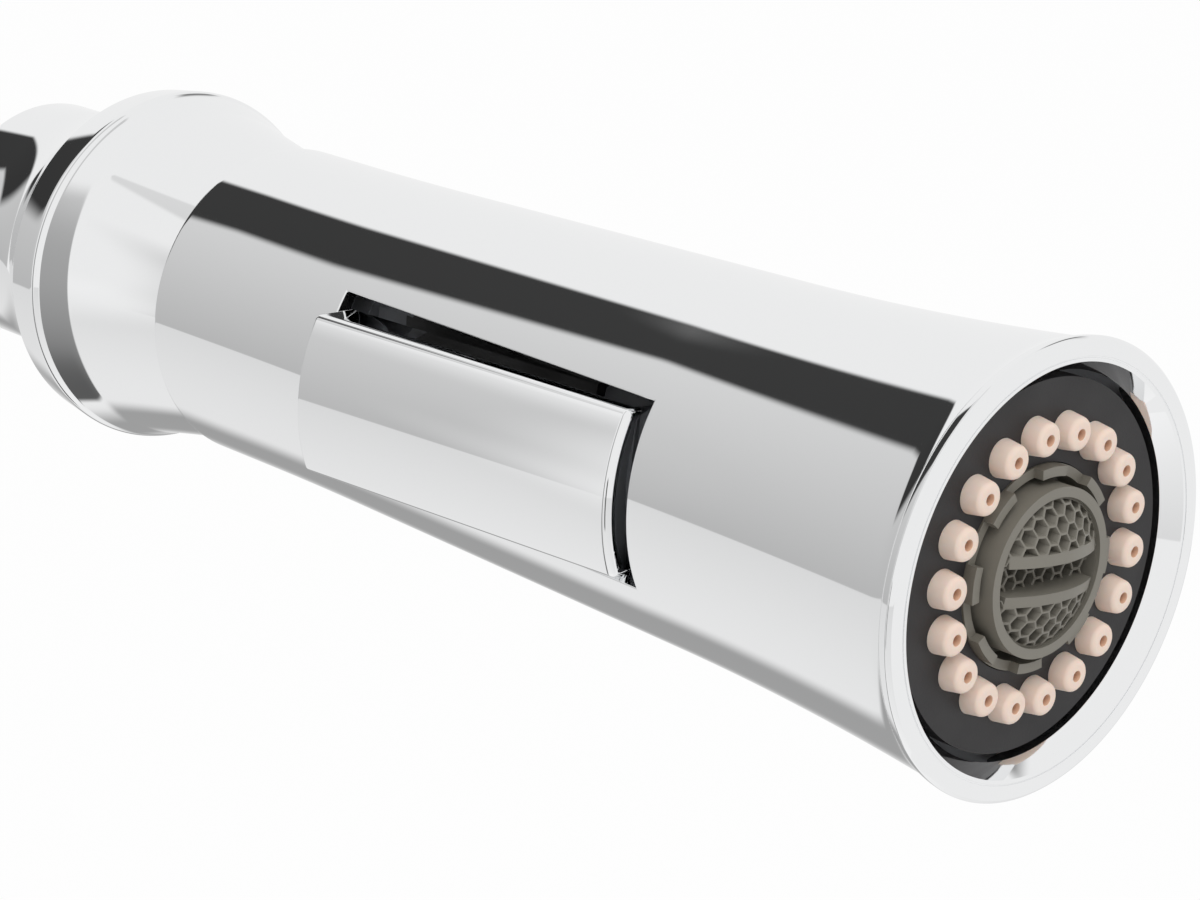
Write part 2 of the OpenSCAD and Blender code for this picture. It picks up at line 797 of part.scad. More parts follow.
// stem that the head turns on, with grooves for two seals and the clip
module swivel_stem() {
    color(brass)
        difference() {
            union() {
                rod(floor_x - stem_flange, floor_x, relief_r);
                rod(floor_x, collar_end, stem_held_r);
                rod(collar_end, stem_end, stem_r);
            }
            rod(floor_x - stem_flange - over, stem_end + over, stem_bore_r);
            rod(floor_x - stem_flange - over, floor_x - stem_flange + strainer_len, strainer_r);
            for (x = [seal_rear_x, seal_front_x])
                tube(x - groove_w / 2, x + groove_w / 2, stem_seal_mid - seal_cord, stem_r + over);
            tube(clip_x, clip_x + clip_t, clip_floor_r, stem_r + over);
        }
}

// rear seal between stem and bush
module stem_seal_rear() {
    color(rubber)
        seal(seal_rear_x, stem_seal_mid, seal_cord);
}

// front seal between stem and bush
module stem_seal_front() {
    color(rubber)
        seal(seal_front_x, stem_seal_mid, seal_cord);
}

// open clip that keeps the head on the stem
module retaining_clip() {
    color(steel)
        difference() {
            tube(clip_x, clip_x + clip_t, clip_floor_r, clip_r);
            translate([clip_x - over, 0, -clip_mouth / 2])
                cube([clip_t + 2 * over, clip_r + over, clip_mouth]);
        }
}

// thin washer between the collar's neck and the head
module swivel_washer() {
    color(rubber)
        tube(collar_end, collar_end + turn_washer_t, stem_r, turn_washer_r);
}

// washer that the end of the hose presses on
module hose_washer() {
    color(rubber)
        tube(socket_len, socket_len + hose_washer_t, hose_washer_bore, relief_r);
}

// cup strainer in the mouth of the stem
module inlet_strainer() {
    strainer_x = floor_x - stem_flange;
    floor_at = strainer_x + strainer_len - strainer_floor;
    color(steel) {
        difference() {
            rod(strainer_x, strainer_x + strainer_len, strainer_r);
            rod(strainer_x - over, floor_at, strainer_r - strainer_rim);
            hole_field(floor_at - over, floor_at + strainer_floor + over, strainer_pitch,
                strainer_hole, stem_bore_r - strainer_hole);
        }
    }
}

// outside of the head as a half section, filled to the axis
module head_section() {
    polygon([
        [0, head_x],
        [waist_r, head_x],
        [waist_r, waist_x],
        [taper_r, flare_x],
        [0, flare_x]
    ]);
    difference() {
        polygon([
            [0, flare_x],
            [taper_r, flare_x],
            [taper_r + flare_room, flare_x],
            [taper_r + flare_room, rim_start],
            [0, rim_start]
        ]);
        translate([flare_mid_r, flare_mid_x])
            circle(r = flare_arc, $fn = fine_round);
    }
}

// inside of the head as a half section
module head_hollow() {
    polygon([
        [0, inner_face],
        [inner_waist, inner_face],
        [inner_waist, waist_x],
        [inner_taper, flare_x],
        [inner_front, skirt_x],
        [skirt_r, skirt_x],
        [skirt_r, rim_start + over],
        [0, rim_start + over]
    ]);
    translate([0, head_x - over])
        square([turn_washer_r + turn_face_gap, over + turn_washer_t]);
    translate([0, head_x])
        square([rear_hole_r, inner_face - head_x + over]);
}

// chrome shell of the head, with the rocker opening
module head_shell() {
    color(chrome)
        difference() {
            spun()
                difference() {
                    head_section();
                    head_hollow();
                }
            translate([slot_rear, -taper_r - over, -slot_half])
                cube([slot_front - slot_rear, taper_r, 2 * slot_half]);
        }
}

// chrome rim with its recess cone and its skirt inside the shell
module outlet_rim() {
    color(chrome)
        spun()
            difference() {
                union() {
                    polygon([
                        [skirt_bore, skirt_x],
                        [skirt_r, skirt_x],
                        [skirt_r, rim_start],
                        [flare_end_r, rim_start],
                        [rim_r, rim_end - rim_edge],
                        [rim_r - rim_edge, rim_end - rim_edge],
                        [rim_r - rim_edge, rim_end],
                        [cone_r + rim_end - cone_end, rim_end],
                        [cone_r, cone_end],
                        [skirt_bore, cone_x]
                    ]);
                    translate([rim_r - rim_edge, rim_end - rim_edge])
                        circle(r = rim_edge);
                }
                translate([line_r, rim_end - line_depth])
                    square([line_w, over]);
            }
}

// place something at every nozzle
module at_nozzles() {
    for (i = [0 : nozzle_n - 1])
        rotate([180 + i * 360 / nozzle_n, 0, 0])
            translate([0, nozzle_pcr, 0])
                children();
}

// dark plate of the spray face
module spray_plate() {
    color(dark_plastic)
        difference() {
            tube(plate_rear, plate_face, plate_hole, plate_r);
            at_nozzles()
                rod(plate_rear - over, plate_face + over, nozzle_base);
        }
}

// soft mat with its nozzles
module nozzle_mat() {
    color(peach)
        difference() {
            union() {
                tube(mat_rear, plate_rear, mat_bore, mat_r);
                at_nozzles() {
                    rod(mat_rear, plate_face, nozzle_base);
                    translate([plate_face, 0, 0])
                        rotate([0, 90, 0])
                            cylinder(h = nozzle_end - plate_face, r1 = nozzle_base, r2 = nozzle_tip);
                }
            }
            at_nozzles() {
                rod(mat_rear - over, jet_start, jet_feed_r);
                rod(jet_start - over, nozzle_end + over, jet_r);
            }
        }
}

// chamber that shares the spray out behind the mat, with the aerator's socket
module spray_chamber() {
    floor_end = chamber_x + chamber_floor;
    color(plastic)
        difference() {
            union() {
                rod(chamber_x, mat_rear, chamber_r);
                rod(skirt_x, mat_rear, skirt_bore);
            }
            tube(floor_end, mat_rear + over, housing_r + tube_wall, chamber_r - chamber_wall);
            rod(chamber_x - over, chamber_x + port_len + over, port_r);
            rod(chamber_x + port_len, seat_x, stream_r);
            rod(seat_x, mat_rear + over, housing_r);
            tube(chamber_x - over, chamber_x + feed_depth, feed_in, feed_out);
            for (i = [0 : feed_n - 1])
                off_rod(chamber_x, floor_end + over, feed_hole, feed_pcr, i * 360 / feed_n);
        }
}

// outer face seal between waterway and chamber
module chamber_seal() {
    color(rubber)
        seal(chamber_x - face_cord, chamber_seal_r, face_cord);
}

// inner face seal, round the stream port
module port_seal() {
    color(rubber)
        seal(chamber_x - face_cord, port_seal_r, face_cord);
}

// housing whose castellated end shows round the aerator
module aerator_housing() {
    color(olive)
        difference() {
            rod(housing_x, castle_top, housing_r);
            rod(housing_x - over, castle_top + over, lip_bore);
            rod(cup_x, castle_top + over, cup_r);
            rod(castle_top - mouth_len, castle_top + over, housing_mouth);
            for (i = [0 : castle_n - 1])
                rotate([180 + (i + 0.5) * 360 / castle_n, 0, 0])
                    castle_gap();
        }
}

// wedge between two lugs
module castle_gap() {
    half = 180 / castle_n - castle_arc / 2;
    reach = 2 * housing_r;
    translate([castle_low, 0, 0])
        rotate([0, 90, 0])
            linear_extrude(height = castle_top - castle_low + over)
                polygon([
                    [0, 0],
                    [-reach * sin(half), reach * cos(half)],
                    [reach * sin(half), reach * cos(half)]
                ]);
}

// cup of the aerator
module aerator_cup() {
    color(olive)
        difference() {
            rod(cup_x, rim_end, cup_r);
            rod(cup_x - over, rim_end, cup_hole);
            rod(stack_x, rim_end + over, cup_bore);
        }
}

// domed outlet grid with its coin slot
module aerator_insert() {
    dome_mid = dome_top - dome_r;
    coin_floor = dome_top - coin_depth;
    color(olive) {
        tube(screens_end, comb_x, stack_bore, cup_bore);
        intersection() {
            translate([dome_mid, 0, 0])
                rotate([0, 90, 0])
                    sphere(r = dome_r);
            union() {
                difference() {
                    rod(comb_x, dome_top, cup_bore);
                    intersection() {
                        rod(comb_x - over, dome_top + over, comb_open);
                        comb_cells();
                    }
                    translate([coin_floor, -coin_reach, -coin_half])
                        cube([coin_depth + over, 2 * coin_reach, 2 * coin_half]);
                }
                intersection() {
                    rod(comb_x, dome_top, coin_reach);
                    for (side = [-1, 1])
                        translate([comb_x, -coin_reach, side * (coin_half + bar_w / 2) - bar_w / 2])
                            cube([dome_top - comb_x, 2 * coin_reach, bar_w]);
                }
            }
        }
    }
}

// hexagonal cells of the outlet grid
module comb_cells() {
    for (i = [-comb_count : comb_count], k = [-comb_count : comb_count]) {
        y = i * cell_row;
        z = (k + abs(i % 2) / 2) * comb_pitch;
        if (sqrt(y * y + z * z) < comb_reach)
            translate([comb_x - over, y, z])
                rotate([0, 90, 0])
                    rotate([0, 0, 30])
                        cylinder(h = dome_top - comb_x + 2 * over, r = cell_r, $fn = 6);
    }
}

// pair of screens with the ring between them
module aerator_screens() {
    color(steel)
        difference() {
            rod(screens_x, screens_end, cup_bore);
            rod(screens_x + screen_t, screens_end - screen_t, stack_bore);
            hole_field(screens_x - over, screens_end + over, screen_pitch, screen_hole,
                stack_bore - screen_hole);
        }
}

// disc that meters the water into the aerator
module flow_regulator() {
    color(dark_plastic)
        difference() {
            rod(stack_x, screens_x, cup_bore);
            for (i = [0 : regulator_n - 1])
                off_rod(stack_x - over, screens_x + over, regulator_hole, regulator_pcr,
                    i * 360 / regulator_n);
        }
}

// flat washer behind the aerator housing
module aerator_seal() {
    color(rubber)
        tube(seat_x, housing_x, stream_r, housing_r);
}

// body that carries the water past the rocker and holds the valves
module waterway_body() {
    color(plastic)
        difference() {
            union() {
                rod(way_x, chamber_x, way_r);
                rod(chamber_x - way_flange_t, chamber_x, way_flange_r);
            }
            translate([flat_x, -way_r - over, -way_r])
                cube([flat_end - flat_x, way_r + over - flat_y, 2 * way_r]);
            rod(way_x - over, check_x, bush_r);
            rod(check_x - over, rear_room_x, check_r);
            for (side = [-1, 1]) {
                off_rod(gallery_x, gallery_end, gallery_r, gallery_at, side * gallery_turn);
                rotate([side * gallery_turn, 0, 0])
                    translate([gallery_end - gallery_r, spool_bore, 0])
                        rotate([-90, 0, 0])
                            cylinder(h = gallery_at - spool_bore, r = gallery_cross_r);
                spray_way(side * 90);
            }
            rod(spool_bore_x, valve_x + over, spool_bore);
            rod(valve_x, chamber_x + over, valve_r);
            translate([pivot_x - window_len, -way_r - over, -window_half])
                cube([2 * window_len, way_r + over - spool_bore / 2, 2 * window_half]);
            for (x = [pivot_x - screw_rear_at, pivot_x + screw_front_at])
                translate([x, frame_t - frame_top - over, 0])
                    rotate([-90, 0, 0])
                        cylinder(h = screw_len - frame_t + over, r = screw_r);
            for (mid = [chamber_seal_r, port_seal_r])
                tube(chamber_x - 2 * face_cord, chamber_x + over, mid - face_cord, mid + face_cord);
        }
}

// one spray port with its way out to the front face
module spray_way(turn) {
    port_x = valve_x - spray_port_len;
    off_rod(port_x, valve_x + over, spray_port_r, spray_port_at, turn);
    off_rod(port_x, chamber_x + over, channel_r, channel_at, turn);
    rotate([turn, 0, 0])
        translate([port_x + spray_port_r, spray_port_at, 0])
            rotate([-90, 0, 0])
                cylinder(h = channel_at - spray_port_at, r = spray_port_r);
}

// seat that the valve disc closes, round the stream port
module diverter_seat() {
    color(brass)
        tube(lip_x, chamber_x, port_r, valve_r);
}

// bush that the stem turns in
module inlet_bush() {
    color(brass)
        difference() {
            union() {
                rod(inner_face, way_x, inner_waist);
                rod(inner_face, bush_end, bush_r);
            }
            rod(inner_face - over, bush_end + over, stem_r + turn_gap);
            tube(bush_seal_x - groove_w / 2, bush_seal_x + groove_w / 2,
                bush_r - 2 * seal_cord, bush_r + over);
        }
}

// seal round the bush
module bush_seal() {
    color(rubber)
        seal(bush_seal_x, bush_r - seal_cord, seal_cord);
}

// housing of the check valve
module check_housing() {
    color(dark_plastic)
        difference() {
            rod(check_x, check_end, check_r);
            rod(check_x - over, room_x + over, check_port);
            rod(room_x, room_end, check_room);
            rod(room_end - over, check_end + over, guide_r);
            for (i = [0 : check_hole_n - 1])
                off_rod(room_end - over, check_end + over, check_hole, check_hole_pcr,
                    i * 360 / check_hole_n);
            tube(check_seal_x - groove_w / 2, check_seal_x + groove_w / 2,
                check_r - 2 * seal_cord, check_r + over);
        }
}

// seal round the check valve
module check_seal() {
    color(rubber)
        seal(check_seal_x, check_r - seal_cord, seal_cord);
}

// poppet of the check valve, on its guide stem
module check_poppet() {
    color(plastic) {
        rod(poppet_x, poppet_face, poppet_r);
        rod(poppet_x, poppet_end, poppet_stem_r);
    }
}

// square-wire spring that closes the poppet
module check_spring() {
    inner = spring_r - spring_wire / 2;
    outer = spring_r + spring_wire / 2;
    steps = 4;
    arc = [for (i = [0 : steps]) i * spring_sector / steps];
    color(steel)
        translate([poppet_face, 0, 0])
            rotate([0, 90, 0])
                linear_extrude(height = spring_len, twist = -360 * spring_turns,
                    slices = 16 * spring_turns, $fn = 16)
                    polygon(concat(
                        [for (a = arc) [inner * cos(a), inner * sin(a)]],
                        [for (a = arc) [outer * cos(spring_sector - a), outer * sin(spring_sector - a)]]
                    ));
}

// frame that carries the rocker's pin
module rocker_frame() {
    color(dark_plastic)
        difference() {
            union() {
                translate([frame_x, -frame_top, -frame_half])
                    cube([frame_end - frame_x, frame_t, 2 * frame_half]);
                for (side = [-1, 1]) {
                    mid = side * (lug_in + lug_out) / 2;
                    half = (lug_out - lug_in) / 2;
                    cross_bar(pivot_x, -pivot_y, lug_r, mid - half, mid + half);
                    translate([pivot_x - lug_r, -pivot_y, mid - half])
                        cube([2 * lug_r, pivot_y - flat_y, 2 * half]);
                }
            }
            cross_bar(pivot_x, -pivot_y, pin_r, -lug_out - over, lug_out + over);
            translate([pivot_x - window_len, -frame_top - over, -window_half])
                cube([2 * window_len, frame_t + 2 * over, 2 * window_half]);
            translate([pivot_x - barrel_r - over, -frame_top - over, -lug_in])
                cube([2 * (barrel_r + over), over + frame_t / 2, 2 * lug_in]);
            for (x = [pivot_x - screw_rear_at, pivot_x + screw_front_at])
                translate([x, -frame_top - over, 0])
                    rotate([-90, 0, 0])
                        cylinder(h = frame_t + 2 * over, r = screw_r);
        }
}

// pin that the rocker turns on
module rocker_pin() {
    color(steel)
        cross_bar(pivot_x, -pivot_y, pin_r, -lug_out, lug_out);
}

// one frame screw
module frame_screw(x) {
    color(steel)
        translate([x, -frame_top, 0])
            rotate([-90, 0, 0])
                difference() {
                    union() {
                        cylinder(h = screw_len, r = screw_r);
                        translate([0, 0, -screw_head_t])
                            cylinder(h = screw_head_t, r = screw_head_r);
                    }
                    translate([-drive_w / 2, -drive_w / 2, -screw_head_t - over])
                        cube([drive_w, drive_w, over + drive_depth]);
                }
}

module frame_screw_rear() {
    frame_screw(pivot_x - screw_rear_at);
}

module frame_screw_front() {
    frame_screw(pivot_x + screw_front_at);
}

// the rocker's own frame, with its pivot at the origin
module on_pivot() {
    translate([pivot_x, -pivot_y, 0])
        children();
}

// side view of the rocker, drawn as [x, y]
module cap_side() {
    heel_x = cap_heel - cap_rear;
    nose_x = cap_front - cap_nose;
    polygon([
        [-cap_rear, cap_bottom],
        [-cap_rear, cap_heel - face_h],
        [heel_x, cap_heel - face_h],
        [heel_x, -face_h - over],
        [nose_x, -face_h - over],
        [nose_x, cap_nose - face_h],
        [cap_front, cap_nose - face_h],
        [cap_front, cap_bottom]
    ]);
    translate([heel_x, cap_heel - face_h])
        circle(r = cap_heel);
    translate([nose_x, cap_nose - face_h])
        circle(r = cap_nose);
}

// end view of the rocker, drawn as [y, z] with the face's centre at zero
module cap_end() {
    difference() {
        intersection() {
            circle(r = face_r, $fn = fine_round);
            translate([-face_r - over, -cap_half])
                square([face_r + over + cap_bottom - cap_mid_y, 2 * cap_half]);
        }
        for (side = [-1, 1])
            scale([1, side])
                cap_end_corner();
    }
}

// what the rounding takes off one long edge
module cap_end_corner() {
    reach = 4; // shares of the edge's own size
    difference() {
        polygon([
            [-edge_y, edge_z],
            [-edge_y, edge_z + reach * cap_edge],
            [-edge_y - reach * (meet_y - edge_y), edge_z + reach * (meet_z - edge_z)]
        ]);
        translate([-edge_y, edge_z])
            circle(r = cap_edge);
    }
}

// chrome cap of the rocker
module rocker_cap() {
    color(chrome)
        on_pivot()
            rotate([0, 0, rest_tilt])
                translate([0, 0, -cap_drop])
                    difference() {
                        intersection() {
                            translate([0, 0, -cap_half - over])
                                linear_extrude(height = 2 * (cap_half + over))
                                    cap_side();
                            translate([-cap_rear - over, cap_mid_y, 0])
                                rotate([90, 0, 90])
                                    linear_extrude(height = cap_rear + cap_front + 2 * over)
                                        cap_end();
                        }
                        intersection() {
                            translate([cap_wall - cap_rear, -face_h, cap_wall - cap_half])
                                cube([cap_rear + cap_front - 2 * cap_wall, cap_depth + over,
                                    2 * (cap_half - cap_wall)]);
                            translate([0, cap_mid_y, 0])
                                rod(-cap_rear, cap_front, ceiling_r);
                        }
                    }
}

// carrier under the cap, with the pivot barrel and the lever
module rocker_lever() {
    color(plastic)
        on_pivot()
            difference() {
                union() {
                    rotate([0, 0, rest_tilt]) {
                        intersection() {
                            translate([-carrier_len, -face_h, -carrier_half - cap_drop])
                                cube([2 * carrier_len, face_h + carrier_y, 2 * carrier_half]);
                            translate([0, cap_mid_y, -cap_drop])
                                rod(-carrier_len, carrier_len, ceiling_r);
                        }
                        translate([-barrel_r, carrier_y - over / 2, -barrel_half])
                            cube([2 * barrel_r, over / 2 - carrier_y, 2 * barrel_half]);
                    }
                    cross_bar(0, 0, barrel_r, -barrel_half, barrel_half);
                    rotate([0, 0, lever_lean]) {
                        translate([-lever_half, 0, -lever_side])
                            cube([2 * lever_half, lever_arm, 2 * lever_side]);
                        cross_bar(0, lever_arm, tip_r, -lever_side, lever_side);
                    }
                }
                cross_bar(0, 0, pin_r + pin_gap, -barrel_half - over, barrel_half + over);
            }
}

// spool that sends the water to the stream or to the spray
module diverter_spool() {
    color(brass)
        difference() {
            union() {
                rod(spool_x, land_end, spool_r);
                rod(land_end, disc_end, spool_neck_r);
                rod(disc_x, disc_end, disc_r);
            }
            tube(groove_rear, groove_front, core_r, spool_r + over);
            for (x = [spool_seal_rear_x, spool_seal_front_x])
                tube(x - spool_groove / 2, x + spool_groove / 2, spool_seal_mid - spool_cord,
                    spool_r + over);
        }
}

// rear seal of the spool
module spool_seal_rear() {
    color(rubber)
        seal(spool_seal_rear_x, spool_seal_mid, spool_cord);
}

// front seal of the spool
module spool_seal_front() {
    color(rubber)
        seal(spool_seal_front_x, spool_seal_mid, spool_cord);
}

// rubber face that closes the spray ports
module disc_seal_rear() {
    color(rubber)
        tube(rubber_x, disc_x, spool_neck_r, disc_r);
}

// rubber face that closes the stream port
module disc_seal_front() {
    color(rubber)
        rod(disc_end, rubber_end, disc_r);
}

collar();
swivel_stem();
stem_seal_rear();
stem_seal_front();
retaining_clip();
swivel_washer();
hose_washer();
inlet_strainer();
head_shell();
outlet_rim();
spray_plate();
nozzle_mat();
spray_chamber();
chamber_seal();
port_seal();
aerator_housing();
aerator_cup();
aerator_insert();
aerator_screens();
flow_regulator();
aerator_seal();
waterway_body();
diverter_seat();
inlet_bush();
bush_seal();
check_housing();
check_seal();
check_poppet();
check_spring();
rocker_frame();
rocker_pin();
frame_screw_rear();
frame_screw_front();
rocker_cap();
rocker_lever();
diverter_spool();
spool_seal_rear();
spool_seal_front();
disc_seal_rear();
disc_seal_front();
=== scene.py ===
import json
import math
from functools import partial
import bpy
import bmesh
from mathutils import Matrix, Vector


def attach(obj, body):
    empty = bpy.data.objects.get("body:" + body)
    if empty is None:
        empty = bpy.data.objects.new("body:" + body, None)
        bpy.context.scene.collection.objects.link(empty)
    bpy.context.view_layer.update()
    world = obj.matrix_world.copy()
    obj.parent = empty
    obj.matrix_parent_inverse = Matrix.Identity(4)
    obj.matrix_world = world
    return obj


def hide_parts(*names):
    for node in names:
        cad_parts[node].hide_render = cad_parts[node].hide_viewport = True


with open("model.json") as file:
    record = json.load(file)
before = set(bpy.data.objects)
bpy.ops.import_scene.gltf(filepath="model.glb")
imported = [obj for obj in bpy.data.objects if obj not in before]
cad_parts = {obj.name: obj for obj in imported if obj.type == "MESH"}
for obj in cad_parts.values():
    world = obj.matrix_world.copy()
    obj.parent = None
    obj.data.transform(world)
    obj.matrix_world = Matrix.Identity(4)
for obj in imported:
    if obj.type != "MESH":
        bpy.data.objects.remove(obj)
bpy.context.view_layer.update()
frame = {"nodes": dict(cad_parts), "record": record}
print("frame loaded:", len(frame["nodes"]), "sub-parts")

# sizes in the dictionaries are in millimetres and degrees, with x from the hose inlet forwards
mm = 0.001


def spunPoint(x, radius, angle):
    # angle runs from -Y towards +Z
    return Vector((x * mm, -radius * math.cos(angle) * mm, radius * math.sin(angle) * mm))


def rounded(corners, steps=5):
    # corners are (x, radius, fillet); a closed outline with its corners rounded
    line = []
    count = len(corners)
    for i, (x, r, fillet) in enumerate(corners):
        here = Vector((x, r))
        if not fillet:
            line.append(here)
            continue
        before = Vector(corners[i - 1][:2]) - here
        after = Vector(corners[(i + 1) % count][:2]) - here
        before.normalize()
        after.normalize()
        half = before.angle(after) / 2
        reach = fillet / math.tan(half)
        middle = here + (before + after).normalized() * (fillet / math.sin(half))
        first = here + before * reach - middle
        last = here + after * reach - middle
        for k in range(steps + 1):
            share = k / steps
            spoke = (first * (1 - share) + last * share).normalized() * fillet
            line.append(middle + spoke)
    return line


def joinRings(build, near, far):
    # a band of faces between two rings of points; a ring of one point closes to its tip
    faces = []
    count = max(len(near), len(far))
    for k in range(count):
        j = (k + 1) % count
        ring = [near[k % len(near)], near[j % len(near)], far[j % len(far)], far[k % len(far)]]
        faces.append(build.faces.new(list(dict.fromkeys(ring))))
    return faces


def meshFrom(name, build):
    mesh = bpy.data.meshes.new(name)
    build.to_mesh(mesh)
    build.free()
    return mesh


def smooth(mesh, sharp):
    # smooth shading, with the real edges kept
    for face in mesh.polygons:
        face.use_smooth = True
    mesh.set_sharp_from_angle(angle=math.radians(sharp))


def placed(name, mesh):
    piece = bpy.data.objects.new(name, mesh)
    bpy.context.collection.objects.link(piece)
    return piece


def finishMesh(name, mesh, material, sharp=35):
    smooth(mesh, sharp)
    mesh.materials.clear()
    mesh.materials.append(material)
    return placed(name, mesh)


def spin(name, outline, around, material):
    # a closed outline of (x, radius) turned about the axis
    build = bmesh.new()
    rings = []
    for k in range(around):
        angle = 2 * math.pi * k / around
        rings.append([build.verts.new(spunPoint(p[0], p[1], angle)) for p in outline])
    for k in range(around):
        joinRings(build, rings[k], rings[(k + 1) % around])
    bmesh.ops.recalc_face_normals(build, faces=build.faces)
    return finishMesh(name, meshFrom(name, build), material)


def applied(piece):
    # what the modifiers make, as a plain mesh
    bpy.context.view_layer.update()
    graph = bpy.context.evaluated_depsgraph_get()
    mesh = bpy.data.meshes.new_from_object(piece.evaluated_get(graph))
    piece.modifiers.clear()
    old = piece.data
    piece.data = mesh
    bpy.data.meshes.remove(old)
    return piece


def link(tree, a, b):
    tree.links.new(a, b)


def calc(tree, kind, *values):
    # one step of arithmetic on sockets and plain numbers
    node = tree.nodes.new("ShaderNodeMath")
    node.operation = kind
    for i, value in enumerate(values):
        if isinstance(value, (int, float)):
            node.inputs[i].default_value = value
        else:
            link(tree, value, node.inputs[i])
    return node.outputs["Value"]


def addSocket(group, name, kind, way="INPUT"):
    return group.interface.new_socket(name=name, in_out=way, socket_type="NodeSocket" + kind)


def principled(name, color, metallic=0.0, roughness=0.5):
    material = bpy.data.materials.new(name)
    material.use_nodes = True
    shader = material.node_tree.nodes["Principled BSDF"]
    shader.inputs["Base Color"].default_value = (*color, 1)
    shader.inputs["Metallic"].default_value = metallic
    shader.inputs["Roughness"].default_value = roughness
    return material


# the finish of each slot: colour, metal, the handling marks' roughness range and bump, and the
# sizes that they are drawn at; what stands under plain goes straight into the shader
finishValues = {
    "chrome": {
        "name": "chromePlate", "color": (0.92, 0.925, 0.93), "metal": 1.0,
        "rough": (0.02, 0.045), "smear": 70.0, "grain": 2600.0, "grainShare": 0.1,
    },
    "brass": {
        "name": "machinedBrass", "color": (0.72, 0.52, 0.24), "metal": 1.0, "bump": 0.15,
        "depth": 0.04, "rough": (0.25, 0.4), "smear": 120.0, "grain": 3000.0, "grainShare": 0.3,
    },
    "steel": {
        "name": "plainSteel", "color": (0.62, 0.62, 0.63), "metal": 1.0, "bump": 0.1,
        "depth": 0.04, "rough": (0.25, 0.38), "smear": 120.0, "grain": 3000.0, "grainShare": 0.3,
    },
    "black_rubber": {
        "name": "blackRubber", "color": (0.02, 0.02, 0.02), "metal": 0.0, "bump": 0.3,
        "depth": 0.05, "rough": (0.55, 0.7), "smear": 150.0, "grain": 3000.0, "grainShare": 0.5,
    },
    "peach_silicone": {
        "name": "peachSilicone", "color": (0.80, 0.65, 0.555), "metal": 0.0, "bump": 0.1,
        "depth": 0.03, "rough": (0.5, 0.62), "smear": 200.0, "grain": 4000.0, "grainShare": 0.4,
        "plain": {
            "Subsurface Weight": 0.25,
            "Subsurface Radius": (1.0, 0.45, 0.25),
            "Subsurface Scale": 0.0008,
        },
    },
    # the jet hole's darker, deeper orange is painted shade inside the nozzle's hole, not a colour of
    # the silicone
    "jet": {
        "name": "jetHole", "color": (0.66, 0.42, 0.29), "metal": 0.0, "plain": {"Roughness": 0.6},
    },
    "dark_plate": {
        "name": "darkPlate", "color": (0.024, 0.023, 0.024), "metal": 0.0, "bump": 0.35,
        "depth": 0.04, "rough": (0.42, 0.55), "smear": 160.0, "grain": 5200.0, "grainShare": 0.7,
        "plain": {"Specular IOR Level": 0.35},
    },
    "olive_plastic": {
        "name": "olivePlastic", "color": (0.19, 0.178, 0.15), "metal": 0.0, "bump": 0.1,
        "depth": 0.03, "rough": (0.4, 0.52), "smear": 200.0, "grain": 4000.0, "grainShare": 0.4,
    },
    "grey_plastic": {
        "name": "greyPlastic", "color": (0.3, 0.31, 0.33), "metal": 0.0, "bump": 0.1,
        "depth": 0.03, "rough": (0.4, 0.5), "smear": 200.0, "grain": 3000.0, "grainShare": 0.4,
    },
    "black_plastic": {
        "name": "blackPlastic", "color": (0.03, 0.03, 0.03), "metal": 0.0, "bump": 0.1,
        "depth": 0.03, "rough": (0.4, 0.5), "smear": 200.0, "grain": 3000.0, "grainShare": 0.4,
    },
}

handlingSpread = (0.3, 0.7)    # where the smears' noise turns from clean to rubbed


def handlingGroup():
    # a fine uneven height and a mottled smear, on Object coordinates
    group = bpy.data.node_groups.new("handlingMarks", "ShaderNodeTree")
    for label, default in (("Smear Size", 90.0), ("Grain Size", 2400.0), ("Grain Share", 0.2)):
        addSocket(group, label, "Float").default_value = default
    addSocket(group, "Height", "Float", "OUTPUT")
    addSocket(group, "Smear", "Float", "OUTPUT")
    nodes = group.nodes
    start = nodes.new("NodeGroupInput")
    end = nodes.new("NodeGroupOutput")
    place = nodes.new("ShaderNodeTexCoord")
    smear = nodes.new("ShaderNodeTexNoise")
    smear.inputs["Detail"].default_value = 4
    grain = nodes.new("ShaderNodeTexNoise")
    grain.inputs["Detail"].default_value = 2
    join = nodes.new("ShaderNodeMix")
    link(group, place.outputs["Object"], smear.inputs["Vector"])
    link(group, place.outputs["Object"], grain.inputs["Vector"])
    link(group, start.outputs["Smear Size"], smear.inputs["Scale"])
    link(group, start.outputs["Grain Size"], grain.inputs["Scale"])
    link(group, start.outputs["Grain Share"], join.inputs["Factor"])
    link(group, smear.outputs["Fac"], join.inputs["A"])
    link(group, grain.outputs["Fac"], join.inputs["B"])
    link(group, join.outputs["Result"], end.inputs["Height"])
    link(group, smear.outputs["Fac"], end.inputs["Smear"])
    return group


def addHandling(material, group, given):
    tree = material.node_tree
    nodes = tree.nodes
    shader = nodes["Principled BSDF"]
    marks = nodes.new("ShaderNodeGroup")
    marks.node_tree = group
    marks.inputs["Smear Size"].default_value = given["smear"]
    marks.inputs["Grain Size"].default_value = given["grain"]
    marks.inputs["Grain Share"].default_value = given["grainShare"]
    spread = nodes.new("ShaderNodeMapRange")
    spread.inputs["From Min"].default_value, spread.inputs["From Max"].default_value = handlingSpread
    spread.inputs["To Min"].default_value, spread.inputs["To Max"].default_value = given["rough"]
    link(tree, marks.outputs["Smear"], spread.inputs["Value"])
    link(tree, spread.outputs["Result"], shader.inputs["Roughness"])
    if "bump" in given:
        relief = nodes.new("ShaderNodeBump")
        relief.inputs["Strength"].default_value = given["bump"]
        relief.inputs["Distance"].default_value = given["depth"] * mm
        link(tree, marks.outputs["Height"], relief.inputs["Height"])
        link(tree, relief.outputs["Normal"], shader.inputs["Normal"])


